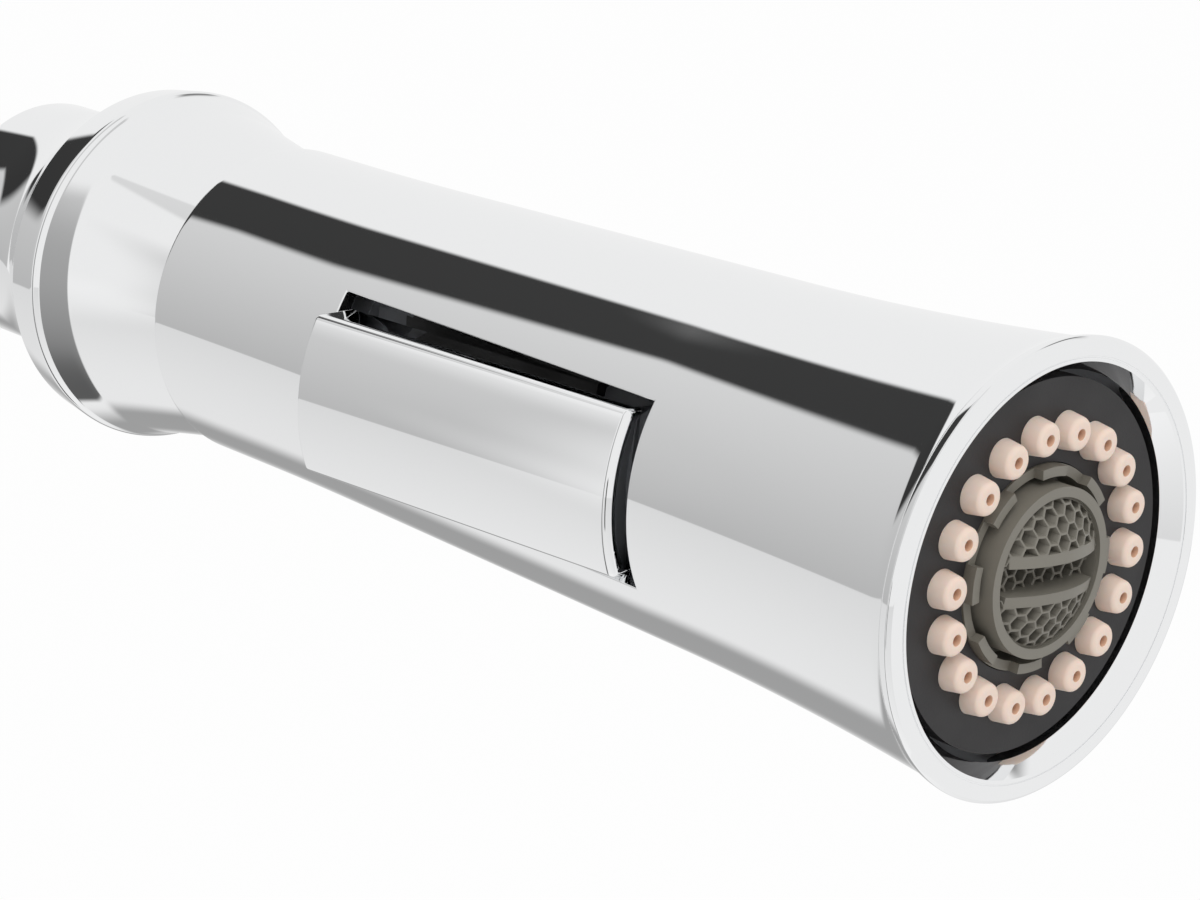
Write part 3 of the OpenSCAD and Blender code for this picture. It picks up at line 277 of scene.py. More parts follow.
def buildFinishes():
    marks = handlingGroup()
    made = {}
    for slot, given in finishValues.items():
        material = principled(given["name"], given["color"], given["metal"])
        shader = material.node_tree.nodes["Principled BSDF"]
        for label, value in given.get("plain", {}).items():
            shader.inputs[label].default_value = value
        if "smear" in given:
            addHandling(material, marks, given)
        made[slot] = material
    return made


def dressNodes():
    # every CAD sub-part takes the finish of its slot
    for part in frame["record"]["subparts"]:
        node = frame["nodes"][part["node"]]
        node.data.materials.clear()
        node.data.materials.append(finishes[part["material_slot"]])


finishes = buildFinishes()
dressNodes()
print("finishes ready")


# the collar: its lean is how steeply it falls towards the axis in front of the flange
collar = {
    "tailRadius": 13.9,
    "tailLength": 7.0,
    "bandStart": 21.0,
    "bandRadius": 19.2,
    "bandEdge": 0.12,
    "flangeEnd": 25.4,
    "flangeRadius": 19.8,
    "flangeRound": 1.2,
    "crestWidth": 0.5,
    "crestFall": 0.4,
    "slopeEnd": 28.8,
    "slopeLean": 17.6,
    "coveStart": 30.6,
    "coveLean": 11.4,
    "frontLean": 8.8,
    "frontBlend": 0.5,
    "frontFall": 0.06,
    "front": 43.2,
    "edge": 0.25,
    "boreRadius": 7.6,
    "floor": 16.0,
    "reliefRadius": 9.5,
    "socketDepth": 12.0,
    "socketRadius": 9.3,
    "mouthEdge": 0.15,
    "step": 0.2,
    "around": 288,
}


def sweep(x0, r0, x1, r1, steps=40):
    # the points of an arc that starts level with the axis
    run, rise = x1 - x0, r1 - r0
    radius = (run * run + rise * rise) / (2 * rise)
    line = []
    for k in range(1, steps):
        x = x0 + run * k / steps
        line.append((x, r0 + radius - math.sqrt(radius * radius - (x - x0) ** 2), 0))
    return line


def collarLean(x):
    c = collar
    if x < c["slopeEnd"]:
        return c["slopeLean"]
    if x < c["coveStart"]:
        share = (x - c["slopeEnd"]) / (c["coveStart"] - c["slopeEnd"])
        share = share * share * (3 - 2 * share)
        return c["slopeLean"] + (c["coveLean"] - c["slopeLean"]) * share
    share = (x - c["coveStart"]) / (c["front"] - c["coveStart"])
    return c["coveLean"] + (c["frontLean"] - c["coveLean"]) * share


def buildCollar():
    c = collar
    corners = [
        (c["floor"], c["boreRadius"], 0),
        (c["floor"], c["reliefRadius"], 0),
        (c["socketDepth"], c["reliefRadius"], 0),
        (c["socketDepth"], c["socketRadius"], 0),
        (0, c["socketRadius"], c["mouthEdge"]),
        (0, c["tailRadius"], c["edge"]),
        (c["tailLength"], c["tailRadius"], 0),
    ]
    corners += sweep(c["tailLength"], c["tailRadius"], c["bandStart"], c["bandRadius"])
    corners += [
        (c["bandStart"], c["bandRadius"], c["bandEdge"]),
        (c["flangeEnd"], c["flangeRadius"], c["flangeRound"]),
    ]
    x, radius = c["flangeEnd"] + c["crestWidth"], c["flangeRadius"] - c["crestFall"]
    while x < c["front"] - c["frontBlend"]:
        radius -= c["step"] * math.tan(math.radians(collarLean(x + c["step"] / 2)))
        x += c["step"]
        corners.append((x, radius, 0))
    corners += [
        (c["front"], radius - c["frontFall"], c["edge"]),
        (c["front"], c["boreRadius"], 0),
    ]
    piece = spin("collarPlated", rounded(corners), c["around"], finishes["chrome"])
    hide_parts("collar")
    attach(piece, "coupling")


buildCollar()
print("collar turned")


# the head's shell, with its rocker opening: straight waist, taper, flare and a fold at the rim
shell = {
    "rear": 43.5,
    "rearRound": 0.4,
    "rearLand": 0.6,
    "rearGap": 0.25,
    "holeRadius": 8.2,
    "pocketEnd": 44.1,
    "pocketRadius": 12.3,
    "waistRadius": 16.85,
    "waistEnd": 60.0,
    "blend": 8.0,
    "taperRadius": 18.15,
    "flareStart": 115.0,
    "flareArc": 350.0,
    "front": 148.8,
    "fold": 1.5,
    "foldRise": 0.28,
    "wall": 1.6,
    "slotRear": 71.7,
    "slotFront": 116.1,
    "slotHalf": 8.85,
    "slotEdge": 0.22,
    "slotEdgeSteps": 4,
    "slotColumns": 40,
    "sharp": 50,
    "step": 0.8,
    "roundSteps": 8,
    "around": 288,
}


def shellRadius(x):
    s = shell
    slope = (s["taperRadius"] - s["waistRadius"]) / (s["flareStart"] - s["waistEnd"])
    blend = s["blend"]
    if x <= s["waistEnd"] - blend:
        return s["waistRadius"]
    if x < s["waistEnd"] + blend:
        return s["waistRadius"] + slope * (x - s["waistEnd"] + blend) ** 2 / (4 * blend)
    if x <= s["flareStart"]:
        return s["waistRadius"] + slope * (x - s["waistEnd"])
    tilt = math.atan(slope)
    middleX = s["flareStart"] - s["flareArc"] * math.sin(tilt)
    middleRadius = s["taperRadius"] + s["flareArc"] * math.cos(tilt)
    flare = middleRadius - math.sqrt(s["flareArc"] ** 2 - (x - middleX) ** 2)
    folded = max(0, x - s["front"] + s["fold"]) / s["fold"]
    return flare + s["foldRise"] * folded ** 2


def shellStations():
    # x and radius of each ring of the shell, from the rear hole to the front edge
    s = shell
    line = [
        (s["pocketEnd"], s["holeRadius"]),
        (s["pocketEnd"], s["pocketRadius"]),
        (s["rear"], s["pocketRadius"]),
        (s["rear"], s["waistRadius"] - s["rearRound"] - s["rearLand"]),
    ]
    steps = s["roundSteps"]
    for k in range(steps + 1):
        angle = math.pi / 2 * k / steps
        x = s["rear"] + s["rearRound"] * (1 - math.cos(angle))
        line.append((x, s["waistRadius"] - s["rearRound"] * (1 - math.sin(angle))))
    waistStart = s["rear"] + s["rearRound"] + s["rearGap"]
    foldStart = s["front"] - s["fold"]
    marks = [waistStart, s["waistEnd"], s["slotRear"], s["slotFront"], foldStart]
    for a, b in zip(marks[:-1], marks[1:]):
        count = max(2, round((b - a) / s["step"]))
        line += [(x, shellRadius(x)) for x in (a + (b - a) * k / count for k in range(count))]
    for k in range(steps + 1):
        x = s["front"] - s["fold"] * (1 - k / steps)
        line.append((x, shellRadius(x)))
    return line


def buildShell():
    s = shell
    stations = shellStations()
    half = s["slotColumns"] // 2
    rest = s["around"] - s["slotColumns"]
    slack = 0.001    # lets a ring that lies on the slot's end count as its end
    widest = 0.95    # keeps the slot's columns apart on rings smaller than the slot
    build = bmesh.new()
    rows = []
    for x, r in stations:
        slot = math.asin(min(widest, s["slotHalf"] / r))
        angles = [slot * k / half for k in range(-half, half)]
        angles += [slot + (2 * math.pi - 2 * slot) * k / rest for k in range(rest)]
        rows.append([build.verts.new(spunPoint(x, r, a)) for a in angles])
    opening = []
    for n, (near, far) in enumerate(zip(rows[:-1], rows[1:])):
        band = joinRings(build, near, far)
        if stations[n][0] >= s["slotRear"] - slack and stations[n + 1][0] <= s["slotFront"] + slack:
            opening += band[:s["slotColumns"]]
    bmesh.ops.delete(build, geom=opening, context="FACES")
    bmesh.ops.recalc_face_normals(build, faces=build.faces)
    mesh = meshFrom("headShellPlated", build)
    if mesh.polygons[0].normal.x > 0:    # the rear wall has to face the hose
        mesh.flip_normals()
    piece = finishMesh("headShellPlated", mesh, finishes["chrome"], s["sharp"])
    wall = piece.modifiers.new("wall", "SOLIDIFY")
    wall.thickness = s["wall"] * mm
    wall.offset = -1
    wall.use_even_offset = True
    edge = piece.modifiers.new("edge", "BEVEL")
    edge.width = s["slotEdge"] * mm
    edge.segments = s["slotEdgeSteps"]
    edge.limit_method = "ANGLE"
    edge.angle_limit = math.radians(s["sharp"])
    edge.harden_normals = True
    applied(piece)
    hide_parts("head_shell")
    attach(piece, "head")


buildShell()
print("head shell turned")


# the rim round the spray face, with its scribed line and the cone down to the plate
rim = {
    "start": 148.8,
    "front": 150.0,
    "rearEdge": 0.1,
    "crownRadius": 21.02,
    "crownWidth": 0.4,
    "crownRound": 0.3,
    "faceRadius": 20.68,
    "faceRound": 0.25,
    "lineRadius": 19.12,
    "lineWidth": 0.14,
    "lineDepth": 0.12,
    "lineEdge": 0.03,
    "mouthRadius": 18.79,
    "mouthRound": 0.1,
    "coneStart": 148.16,
    "coneEdge": 0.05,
    "skirtStart": 142.0,
    "skirtRadius": 18.8,
    "skirtBore": 17.68,
    "around": 288,
}


def buildRim():
    r = rim
    lineEnd = r["lineRadius"] + r["lineWidth"]
    lineFloor = r["front"] - r["lineDepth"]
    corners = [
        (r["skirtStart"], r["skirtBore"], 0),
        (r["skirtStart"], r["skirtRadius"], 0),
        (r["start"], r["skirtRadius"], 0),
        (r["start"], shellRadius(r["start"]), r["rearEdge"]),
        (r["front"] - r["crownWidth"], r["crownRadius"], r["crownRound"]),
        (r["front"], r["faceRadius"], r["faceRound"]),
        (r["front"], lineEnd, r["lineEdge"]),
        (lineFloor, lineEnd, 0),
        (lineFloor, r["lineRadius"], 0),
        (r["front"], r["lineRadius"], r["lineEdge"]),
        (r["front"], r["mouthRadius"], r["mouthRound"]),
        (r["coneStart"], r["skirtBore"], r["coneEdge"]),
    ]
    piece = spin("outletRimPlated", rounded(corners), r["around"], finishes["chrome"])
    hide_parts("outlet_rim")
    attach(piece, "head")


buildRim()
print("rim turned")


# the rocker's chrome cap; its face, ends and depth are measured from the pivot
rocker = {
    "pivotX": 94.0,
    "pivotY": -13.4,
    "tilt": 4.67,
    "faceHeight": 6.83,
    "faceRadius": 17.4,
    "toRear": 20.9,
    "toFront": 19.9,
    "half": 7.95,
    "drop": 0.5,
    "depth": 6.6,
    "wall": 1.3,
    "longEdge": 0.9,
    "nose": 1.3,
    "heel": 0.6,
    "columns": 48,
    "edgeSteps": 8,
    "endSteps": 6,
    "sharp": 30,
}


def rockerSection():
    # half-round face with rounded long edges, open towards the pivot, as (y, z)
    r = rocker
    middle = r["faceRadius"] - r["faceHeight"]
    bottom = r["depth"] - r["faceHeight"]
    edge = r["longEdge"]
    edgeZ = r["half"] - edge
    edgeY = math.sqrt((r["faceRadius"] - edge) ** 2 - edgeZ ** 2)
    turn = math.atan2(edgeZ, edgeY)
    side = []
    for k in range(r["edgeSteps"] + 1):
        angle = math.pi / 2 + (turn - math.pi / 2) * k / r["edgeSteps"]
        side.append((middle - edgeY - edge * math.cos(angle), edgeZ + edge * math.sin(angle)))
    face = []
    for k in range(1, r["columns"]):
        angle = turn * (2 * k / r["columns"] - 1)
        face.append((middle - r["faceRadius"] * math.cos(angle), r["faceRadius"] * math.sin(angle)))
    mirrored = [(y, -z) for y, z in side]
    return [(bottom, -r["half"])] + mirrored + face + side[::-1] + [(bottom, r["half"])]


def buildRocker():
    r = rocker
    section = rockerSection()
    build = bmesh.new()
    weight = build.edges.layers.float.new("bevel_weight_edge")
    rear, front = [
        [build.verts.new((x * mm, y * mm, (z - r["drop"]) * mm)) for y, z in section]
        for x in (-r["toRear"], r["toFront"])
    ]
    for i in range(len(section) - 1):
        build.faces.new((rear[i], rear[i + 1], front[i + 1], front[i]))
    build.faces.new(rear)
    build.faces.new(front)
    for edge in build.edges:
        tips = set(edge.verts)
        if tips <= set(rear):
            edge[weight] = r["heel"] / r["nose"]
        elif tips <= set(front):
            edge[weight] = 1.0
    bmesh.ops.recalc_face_normals(build, faces=build.faces)
    mesh = meshFrom("rockerPlated", build)
    pivot = Matrix.Translation((r["pivotX"] * mm, r["pivotY"] * mm, 0))
    mesh.transform(pivot @ Matrix.Rotation(math.radians(r["tilt"]), 4, "Z"))
    piece = finishMesh("rockerPlated", mesh, finishes["chrome"], r["sharp"])
    ends = piece.modifiers.new("edge", "BEVEL")
    ends.width = r["nose"] * mm
    ends.segments = r["endSteps"]
    ends.limit_method = "WEIGHT"
    ends.harden_normals = True
    wall = piece.modifiers.new("wall", "SOLIDIFY")
    wall.thickness = r["wall"] * mm
    wall.offset = -1
    applied(piece)
    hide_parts("rocker_cap")
    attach(piece, "rocker")


buildRocker()
print("rocker made")


# the soft nozzles and the mat that holds them
nozzles = {
    "count": 18,
    "pitchRadius": 12.28,
    "matRear": 144.25,
    "matFront": 145.75,
    "matInner": 10.0,
    "matOuter": 16.4,
    "matAround": 96,
    "plateFace": 147.95,
    "root": 2.2,
    "rootRound": 0.2,
    "tip": 149.8,
    "baseRadius": 1.75,
    "tipRadius": 1.48,
    "round": 0.5,
    "jetMouth": 0.52,
    "jetRound": 0.08,
    "jetRadius": 0.43,
    "jetDepth": 1.3,
    "sharp": 50,
    "around": 48,
}


def nozzleForm():
    # one nozzle about +X at the origin; its jet hole is the second material, a darker colour that is
    # painted shade inside the hole
    n = nozzles
    outline = [(p[0], p[1]) for p in rounded([
        (n["plateFace"] - n["root"], n["baseRadius"], 0),
        (n["plateFace"], n["baseRadius"], n["rootRound"]),
        (n["tip"], n["tipRadius"], n["round"]),
        (n["tip"], n["jetMouth"], n["jetRound"]),
        (n["tip"] - n["jetDepth"] / 3, n["jetRadius"], 0),
        (n["tip"] - n["jetDepth"], n["jetRadius"], 0),
        (n["tip"] - n["jetDepth"], 0, 0),
    ])]
    jetStart = len(outline) - 6    # from inside the rounded mouth down
    build = bmesh.new()
    rings = []
    for x, r in outline:
        turns = n["around"] if r else 1
        angles = [2 * math.pi * k / turns for k in range(turns)]
        rings.append([build.verts.new(spunPoint(x, r, angle)) for angle in angles])
    for i, (near, far) in enumerate(zip(rings[:-1], rings[1:])):
        for face in joinRings(build, near, far):
            face.material_index = 1 if i >= jetStart else 0
    bmesh.ops.recalc_face_normals(build, faces=build.faces)
    mesh = meshFrom("nozzleForm", build)
    smooth(mesh, n["sharp"])
    mesh.materials.append(finishes["peach_silicone"])
    mesh.materials.append(finishes["jet"])
    return placed("nozzleForm", mesh)


def nozzleRing(source):
    # a ring of nozzles about the axis, joined to the mat
    tree = bpy.data.node_groups.new("nozzleRing", "GeometryNodeTree")
    addSocket(tree, "Geometry", "Geometry")
    count = addSocket(tree, "Count", "Int")
    radius = addSocket(tree, "Pitch Radius", "Float")
    addSocket(tree, "Geometry", "Geometry", "OUTPUT")
    nodes = tree.nodes
    start = nodes.new("NodeGroupInput")
    end = nodes.new("NodeGroupOutput")
    circle = nodes.new("GeometryNodeMeshCircle")
    turn = nodes.new("GeometryNodeTransform")
    turn.inputs["Rotation"].default_value = (math.pi / 2, 0, math.pi / 2)
    info = nodes.new("GeometryNodeObjectInfo")
    info.inputs["Object"].default_value = source
    place = nodes.new("GeometryNodeInstanceOnPoints")
    join = nodes.new("GeometryNodeJoinGeometry")
    real = nodes.new("GeometryNodeRealizeInstances")
    link(tree, start.outputs["Count"], circle.inputs["Vertices"])
    link(tree, start.outputs["Pitch Radius"], circle.inputs["Radius"])
    link(tree, circle.outputs["Mesh"], turn.inputs["Geometry"])
    link(tree, turn.outputs["Geometry"], place.inputs["Points"])
    link(tree, info.outputs["Geometry"], place.inputs["Instance"])
    link(tree, place.outputs["Instances"], join.inputs["Geometry"])
    link(tree, start.outputs["Geometry"], join.inputs["Geometry"])
    link(tree, join.outputs["Geometry"], real.inputs["Geometry"])
    last = real.outputs["Geometry"]
    # the second material paints shade into each nozzle's jet hole
    for index, slot in enumerate(("peach_silicone", "jet")):
        paint = nodes.new("GeometryNodeSetMaterial")
        paint.inputs["Material"].default_value = finishes[slot]
        which = nodes.new("GeometryNodeInputMaterialIndex")
        same = nodes.new("FunctionNodeCompare")
        same.data_type = "INT"
        same.operation = "EQUAL"
        same.inputs[3].default_value = index
        link(tree, which.outputs["Material Index"], same.inputs[2])
        link(tree, same.outputs["Result"], paint.inputs["Selection"])
        link(tree, last, paint.inputs["Geometry"])
        last = paint.outputs["Geometry"]
    link(tree, last, end.inputs["Geometry"])
    return tree, count.identifier, radius.identifier


def buildNozzles():
    n = nozzles
    nozzle = nozzleForm()
    matLine = [
        (n["matRear"], n["matInner"]),
        (n["matRear"], n["matOuter"]),
        (n["matFront"], n["matOuter"]),
        (n["matFront"], n["matInner"]),
    ]
    piece = spin("nozzleMat", matLine, n["matAround"], finishes["peach_silicone"])
    piece.data.materials.append(finishes["jet"])
    tree, countId, radiusId = nozzleRing(nozzle)
    ring = piece.modifiers.new("ring", "NODES")
    ring.node_group = tree
    ring[countId] = n["count"]
    ring[radiusId] = n["pitchRadius"] * mm
    applied(piece)
    bpy.data.objects.remove(nozzle)
    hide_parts("nozzle_mat")
    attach(piece, "head")


buildNozzles()
print("nozzles set")


# the aerator's domed outlet with its honeycomb, and the coin slot between two bars
comb = {
    "pitch": 1.52,
    "web": 0.28,
    "webEdge": 0.07,
    "webEdgeStart": 0.975,
    "rows": 6,
    "reach": 6.98,
    "tuckRadius": 7.6,
    "weld": 0.01,
    "bottom": 146.0,
    "domeTop": 151.39,
    "domeRadius": 13.7,
    "ringRear": 139.6,
    "ringBore": 6.02,
    "open": 6.6,
    "ringRadius": 6.82,
    "slotHalf": 1.26,
    "slotReach": 5.9,
    "slotDepth": 2.6,
    "bar": 1.02,
    "barProud": 0.01,
    "barSteps": 24,
    "sharp": 35,
    "around": 144,
}


def domeAt(radius):
    c = comb
    return c["domeTop"] - c["domeRadius"] + math.sqrt(c["domeRadius"] ** 2 - radius ** 2)


def combTree(source):
    # hexagonal cells over a dome, sunk along the slot
    tree = bpy.data.node_groups.new("honeycombDome", "GeometryNodeTree")
    addSocket(tree, "Geometry", "Geometry")
    names = {"Rows": addSocket(tree, "Rows", "Int").identifier}
    lengths = ("Pitch", "Reach", "Dome Radius", "Dome Top", "Bottom", "Slot Floor", "Slot Edge")
    for label in lengths + ("Tuck Radius", "Weld"):
        names[label] = addSocket(tree, label, "Float").identifier
    addSocket(tree, "Geometry", "Geometry", "OUTPUT")
    nodes = tree.nodes
    start = nodes.new("NodeGroupInput")
    end = nodes.new("NodeGroupOutput")
    given = start.outputs
    maths = partial(calc, tree)

    def parts():
        place = nodes.new("GeometryNodeInputPosition")
        split = nodes.new("ShaderNodeSeparateXYZ")
        link(tree, place.outputs["Position"], split.inputs["Vector"])
        return split.outputs["X"], split.outputs["Y"], split.outputs["Z"]

    def joined(*values):
        node = nodes.new("ShaderNodeCombineXYZ")
        for label, value in zip("XYZ", values):
            if isinstance(value, float):
                node.inputs[label].default_value = value
            else:
                link(tree, value, node.inputs[label])
        return node.outputs["Vector"]

    def moved(geometry, socket, value):
        node = nodes.new("GeometryNodeSetPosition")
        link(tree, geometry, node.inputs["Geometry"])
        link(tree, value, node.inputs[socket])
        return node.outputs["Geometry"]

    def square(value):
        return maths("MULTIPLY", value, value)

    # a staggered grid of points, cut to a disc
    rowStep = maths("MULTIPLY", given["Pitch"], math.sin(math.pi / 3))
    span = maths("MULTIPLY", given["Rows"], 2.0)
    count = maths("ADD", span, 1.0)
    grid = nodes.new("GeometryNodeMeshGrid")
    link(tree, maths("MULTIPLY", span, rowStep), grid.inputs["Size X"])
    link(tree, maths("MULTIPLY", span, given["Pitch"]), grid.inputs["Size Y"])
    link(tree, count, grid.inputs["Vertices X"])
    link(tree, count, grid.inputs["Vertices Y"])
    x, y, z = parts()
    row = maths("ABSOLUTE", maths("ROUND", maths("DIVIDE", x, rowStep)))
    shift = maths("MULTIPLY", maths("MODULO", row, 2.0), maths("MULTIPLY", given["Pitch"], 0.5))
    field = moved(grid.outputs["Mesh"], "Offset", joined(0.0, shift, 0.0))
    x, y, z = parts()
    away = maths("SQRT", maths("ADD", square(x), square(y)))
    clear = nodes.new("GeometryNodeDeleteGeometry")
    link(tree, field, clear.inputs["Geometry"])
    link(tree, maths("GREATER_THAN", away, given["Reach"]), clear.inputs["Selection"])
    mark = nodes.new("GeometryNodeStoreNamedAttribute")
    mark.inputs["Name"].default_value = "sunk"
    link(tree, clear.outputs["Geometry"], mark.inputs["Geometry"])
    inSlot = maths("LESS_THAN", maths("ABSOLUTE", y), given["Slot Edge"])
    link(tree, inSlot, mark.inputs["Value"])

    # a cell on each point
    form = nodes.new("GeometryNodeObjectInfo")
    form.inputs["Object"].default_value = source
    place = nodes.new("GeometryNodeInstanceOnPoints")
    link(tree, mark.outputs["Geometry"], place.inputs["Points"])
    link(tree, form.outputs["Geometry"], place.inputs["Instance"])
    real = nodes.new("GeometryNodeRealizeInstances")
    link(tree, place.outputs["Instances"], real.inputs["Geometry"])

    # each cell stretched from the bottom to the dome, or to the slot's floor
    x, y, z = parts()
    away = maths("SQRT", maths("ADD", square(x), square(y)))
    dome = maths("SQRT", maths("SUBTRACT", square(given["Dome Radius"]), square(away)))
    top = maths("ADD", maths("SUBTRACT", given["Dome Top"], given["Dome Radius"]), dome)
    sunk = nodes.new("GeometryNodeInputNamedAttribute")
    sunk.data_type = "FLOAT"
    sunk.inputs["Name"].default_value = "sunk"
    low = maths("MINIMUM", top, given["Slot Floor"])
    drop = maths("MULTIPLY", sunk.outputs["Attribute"], maths("SUBTRACT", top, low))
    height = maths("SUBTRACT", maths("SUBTRACT", top, drop), given["Bottom"])
    rise = maths("MULTIPLY", height, maths("MULTIPLY", z, 1 / mm))
    out = maths("ADD", given["Bottom"], rise)
    # cells at the border end inside the ring's wall
    tuck = maths("DIVIDE", given["Tuck Radius"], maths("MAXIMUM", away, given["Tuck Radius"]))
    spot = joined(out, maths("MULTIPLY", x, tuck), maths("MULTIPLY", y, tuck))
    domed = moved(real.outputs["Geometry"], "Position", spot)
    weld = nodes.new("GeometryNodeMergeByDistance")
    link(tree, given["Weld"], weld.inputs["Distance"])
    link(tree, domed, weld.inputs["Geometry"])
    both = nodes.new("GeometryNodeJoinGeometry")
    link(tree, weld.outputs["Geometry"], both.inputs["Geometry"])
    link(tree, given["Geometry"], both.inputs["Geometry"])
    whole = nodes.new("GeometryNodeRealizeInstances")
    link(tree, both.outputs["Geometry"], whole.inputs["Geometry"])
    paint = nodes.new("GeometryNodeSetMaterial")
    paint.inputs["Material"].default_value = finishes["olive_plastic"]
    link(tree, whole.outputs["Geometry"], paint.inputs["Geometry"])
    link(tree, paint.outputs["Geometry"], end.inputs["Geometry"])
    return tree, names


def cellForm():
    # one open cell: the web's top, its small chamfer, the wall and the foot; z from foot 0 to top 1
    c = comb
    sixth = math.pi / 3
    full = c["pitch"] / 2 / math.cos(sixth / 2)
    inner = (c["pitch"] - c["web"]) / 2 / math.cos(sixth / 2)
    levels = [
        (full, 1.0),
        (inner + c["webEdge"], 1.0),
        (inner, c["webEdgeStart"]),
        (inner, 0.0),
        (full, 0.0),
    ]
    build = bmesh.new()
    loops = []
    for radius, z in levels:
        corners = [(radius * math.cos(k * sixth), radius * math.sin(k * sixth)) for k in range(6)]
        loops.append([build.verts.new((x * mm, y * mm, z * mm)) for x, y in corners])
    for near, far in zip(loops[:-1], loops[1:]):
        joinRings(build, near, far)
    mesh = meshFrom("cellForm", build)
    if mesh.polygons[0].normal.z < 0:
        mesh.flip_normals()
    return placed("cellForm", mesh)


def addBars(mesh):
    # the two bars beside the coin slot, a little proud of the dome
    c = comb
    build = bmesh.new()
    build.from_mesh(mesh)
    low, high = c["slotHalf"], c["slotHalf"] + c["bar"]
    for side in (-1, 1):
        rows = []
        for k in range(c["barSteps"] + 1):
            y = c["slotReach"] * (2 * k / c["barSteps"] - 1)
            row = []
            for z, onDome in ((low, True), (high, True), (high, False), (low, False)):
                x = domeAt(math.hypot(y, z)) + c["barProud"] if onDome else c["bottom"]
                row.append(build.verts.new((x * mm, y * mm, side * z * mm)))
            rows.append(row)
        for near, far in zip(rows[:-1], rows[1:]):
            joinRings(build, near, far)
        build.faces.new(rows[0])
        build.faces.new(rows[-1])
    bmesh.ops.recalc_face_normals(build, faces=build.faces)
    build.to_mesh(mesh)
    build.free()


def buildComb():
    c = comb
    outline = [
        (c["ringRear"], c["ringBore"]),
        (c["ringRear"], c["ringRadius"]),
        (domeAt(c["ringRadius"]), c["ringRadius"]),
        (domeAt(c["open"]), c["open"]),
        (c["bottom"], c["open"]),
        (c["bottom"], c["ringBore"]),
    ]
    piece = spin("aeratorOutlet", outline, c["around"], finishes["olive_plastic"])
    addBars(piece.data)
    cell = cellForm()
    tree, names = combTree(cell)
    weave = piece.modifiers.new("honeycomb", "NODES")
    weave.node_group = tree
    weave[names["Rows"]] = c["rows"]
    lengths = {
        "Pitch": c["pitch"],
        "Reach": c["reach"],
        "Dome Radius": c["domeRadius"],
        "Dome Top": c["domeTop"],
        "Bottom": c["bottom"],
        "Slot Floor": c["domeTop"] - c["slotDepth"],
        "Slot Edge": c["slotHalf"] + c["bar"] / 2,
        "Tuck Radius": c["tuckRadius"],
        "Weld": c["weld"],
    }
    for label, length in lengths.items():
        weave[names[label]] = length * mm
    applied(piece)
    bpy.data.objects.remove(cell)
    smooth(piece.data, c["sharp"])
    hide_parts("aerator_insert")
    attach(piece, "head")


buildComb()
print("outlet grid woven")


# what the chrome reflects: azimuth from +X towards +Y and height over the horizon, in degrees;
# each card has from, to, side blur, low, high, end blur, tone at low, tone at high
studio = {
    "around": 0.89,
    "cards": {
        "wallEnd": (215.0, 236.0, 2.5, -34.0, 21.0, 7.0, 0.45, 0.64),
        "greyWall": (176.0, 223.0, 1.2, -18.0, 48.0, 0.5, 0.49, 0.73),
        "darkFlag": (175.5, 203.3, 1.8, 8.0, 48.0, 3.5, 0.035, 0.045),
        "floor": (62.0, 369.0, 1.0, -99.0, -16.0, 0.3, 1.0, 0.74),
        "coveFloor": (234.0, 264.0, 3.0, -36.0, -9.0, 8.0, 0.76, 0.94),
        "besideCamera": (279.0, 292.0, 1.5, -34.0, -6.0, 2.0, 0.08, 0.12),
        "overFace": (84.0, 116.0, 6.0, 36.0, 56.0, 4.0, 0.16, 0.2),
        "floorShade": (134.0, 168.0, 8.0, -52.0, -24.0, 8.0, 0.36, 0.36),
    },
    # the camera's own side: a darker strip square to the object's length, and its tone by height
    "stripAcross": (0.985, 0.076, -0.156),
    "strip": (-0.46, -0.25, 0.012, 0.0, 2.0, 0.04, 1.0, 1.0),
    "stripTones": (
        (-90.0, 0.09), (90.0, 0.6), (-61.0, 0.1), (-41.0, 0.25), (-15.0, 0.35), (12.0, 0.41),
        (45.0, 0.6),
    ),
}

cardLabels = ("From", "To", "Side Blur", "Low", "High", "End Blur", "Tone Low", "Tone High")


def cardGroup():
    # one soft-edged card painted over what is behind it
    group = bpy.data.node_groups.new("softCard", "ShaderNodeTree")
    for label in ("Behind", "Across", "Up") + cardLabels:
        addSocket(group, label, "Float")
    addSocket(group, "Tone", "Float", "OUTPUT")
    given = group.nodes.new("NodeGroupInput").outputs
    end = group.nodes.new("NodeGroupOutput")

    def step(value, edge, blur, rising):
        node = group.nodes.new("ShaderNodeMapRange")
        node.interpolation_type = "SMOOTHSTEP"
        node.inputs["To Min"].default_value = 0.0 if rising else 1.0
        node.inputs["To Max"].default_value = 1.0 if rising else 0.0
        link(group, value, node.inputs["Value"])
        link(group, calc(group, "SUBTRACT", edge, blur), node.inputs["From Min"])
        link(group, calc(group, "ADD", edge, blur), node.inputs["From Max"])
        return node.outputs["Result"]

    def between(along, low, high, blur):
        value, soft = given[along], given[blur]
        rise = step(value, given[low], soft, True)
        return calc(group, "MULTIPLY", rise, step(value, given[high], soft, False))

    across = between("Across", "From", "To", "Side Blur")
    up = between("Up", "Low", "High", "End Blur")
    tone = group.nodes.new("ShaderNodeMapRange")
    link(group, given["Up"], tone.inputs["Value"])
    link(group, given["Low"], tone.inputs["From Min"])
    link(group, given["High"], tone.inputs["From Max"])
    link(group, given["Tone Low"], tone.inputs["To Min"])
    link(group, given["Tone High"], tone.inputs["To Max"])
    mix = group.nodes.new("ShaderNodeMix")
    link(group, calc(group, "MULTIPLY", across, up), mix.inputs["Factor"])
    link(group, given["Behind"], mix.inputs["A"])
    link(group, tone.outputs["Result"], mix.inputs["B"])
    link(group, mix.outputs["Result"], end.inputs["Tone"])
    return group


